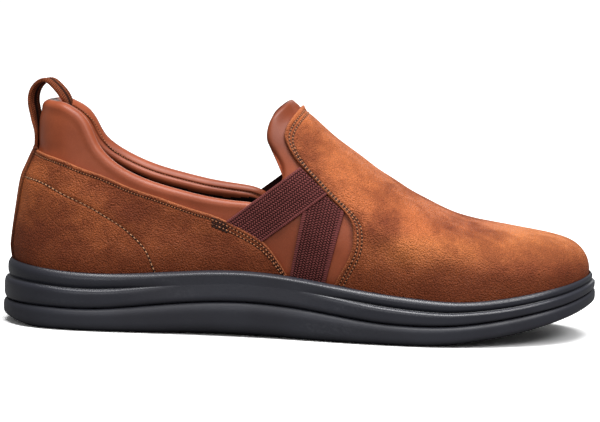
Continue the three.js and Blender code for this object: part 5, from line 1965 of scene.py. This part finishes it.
# Lamps: name, place, aim, size and power
LAMPS = (
    ("overhead", (0.0, -0.05, 1.1), (0.0, 0.0, 0.05), (1.1, 0.16), 7.5),
    ("front_fill", (-0.3, -1.7, 0.7), (0.0, 0.0, 0.05), (1.2, 0.6), 4.2),
    ("toe_side", (0.8, -0.8, 1.0), (0.04, 0.0, 0.05), (0.5, 0.5), 7.0),
    ("rear_fill", (0.2, 1.7, 0.7), (0.0, 0.0, 0.05), (1.2, 0.6), 3.0),
)
SUN = ((0.1, -0.25, 1.0), 2.2, 40.0)  # where it stands, strength, spread in degrees


def make_lights():
    for name, spot, aim, size, power in LAMPS:
        data = bpy.data.lights.new(name, "AREA")
        data.shape, data.size, data.size_y = "RECTANGLE", *size
        data.energy = power
        hang(name, data, spot, aim)
    spot, strength, spread = SUN
    data = bpy.data.lights.new("soft_sun", "SUN")
    data.energy, data.angle = strength, math.radians(spread)
    hang("soft_sun", data, spot, (0, 0, 0))


def hang(name, data, spot, aim):
    lamp = bpy.data.objects.new(name, data)
    lamp.location = spot
    way = Vector(aim) - Vector(spot)
    lamp.rotation_euler = way.to_track_quat("-Z", "Y").to_euler()
    bpy.context.scene.collection.objects.link(lamp)


CAMERA_TARGET = (-0.000399, 0.0, 0.053413)
CAMERA_ANGLES = (2.5, 6.5, 1.5086)  # to the right of the side view, up, and rolled, in degrees
CAMERA_REACH = 1.3  # from the target, in metres
CAMERA_LENS, CAMERA_SENSOR = 171.38, 36.0  # in millimetres


def make_camera():
    around, up_angle, roll = (math.radians(v) for v in CAMERA_ANGLES)
    flat = math.cos(up_angle)
    back = Vector((math.sin(around) * flat, -math.cos(around) * flat, math.sin(up_angle)))
    right = Vector((math.cos(around), math.sin(around), 0))
    up = back.cross(right)
    side = right * math.cos(roll) + up * math.sin(roll)
    top = up * math.cos(roll) - right * math.sin(roll)
    data = bpy.data.cameras.new("camera")
    data.lens, data.sensor_width, data.sensor_fit = CAMERA_LENS, CAMERA_SENSOR, "HORIZONTAL"
    data.clip_end = 100
    camera = bpy.data.objects.new("camera", data)
    place = Vector(CAMERA_TARGET) + back * CAMERA_REACH
    camera.matrix_world = Matrix((side, top, back)).transposed().to_4x4()
    camera.location = place
    bpy.context.scene.collection.objects.link(camera)
    bpy.context.scene.camera = camera
    bpy.context.scene.view_settings.view_transform = "Standard"


class SHOE_PT_panel(bpy.types.Panel):
    """Lists the steps and the values of the shoe"""

    bl_idname = "SHOE_PT_panel"
    bl_label = "Slip-on sneaker"
    bl_space_type = "VIEW_3D"
    bl_region_type = "UI"
    bl_category = "Shoe"

    def draw(self, context):
        column = self.layout.column()
        for step in STEPS:
            column.operator(step.bl_idname)
        for group in (context.scene.shoe_sizes, context.scene.shoe_colours):
            box = self.layout.box().column()
            for name in group.bl_rna.properties.keys():
                if name not in ("rna_type", "name"):
                    box.prop(group, name)


STEPS = (
    SHOE_OT_finishes,
    SHOE_OT_sole,
    SHOE_OT_upper,
    SHOE_OT_suede,
    SHOE_OT_straps,
    SHOE_OT_loop,
    SHOE_OT_stitches,
    SHOE_OT_stage,
)
CLASSES = (ShoeSizes, ShoeColours, *STEPS, SHOE_PT_panel)


def register():
    for one in CLASSES:
        bpy.utils.register_class(one)
    bpy.types.Scene.shoe_sizes = bpy.props.PointerProperty(type=ShoeSizes)
    bpy.types.Scene.shoe_colours = bpy.props.PointerProperty(type=ShoeColours)


def unregister():
    del bpy.types.Scene.shoe_sizes
    del bpy.types.Scene.shoe_colours
    for one in reversed(CLASSES):
        bpy.utils.unregister_class(one)


def main():
    register()
    for step in (
        bpy.ops.shoe.finishes,
        bpy.ops.shoe.sole,
        bpy.ops.shoe.upper,
        bpy.ops.shoe.suede,
        bpy.ops.shoe.straps,
        bpy.ops.shoe.loop,
        bpy.ops.shoe.stitches,
        bpy.ops.shoe.stage,
    ):
        step()
    bpy.context.view_layer.update()


if __name__ == "__main__":
    main()
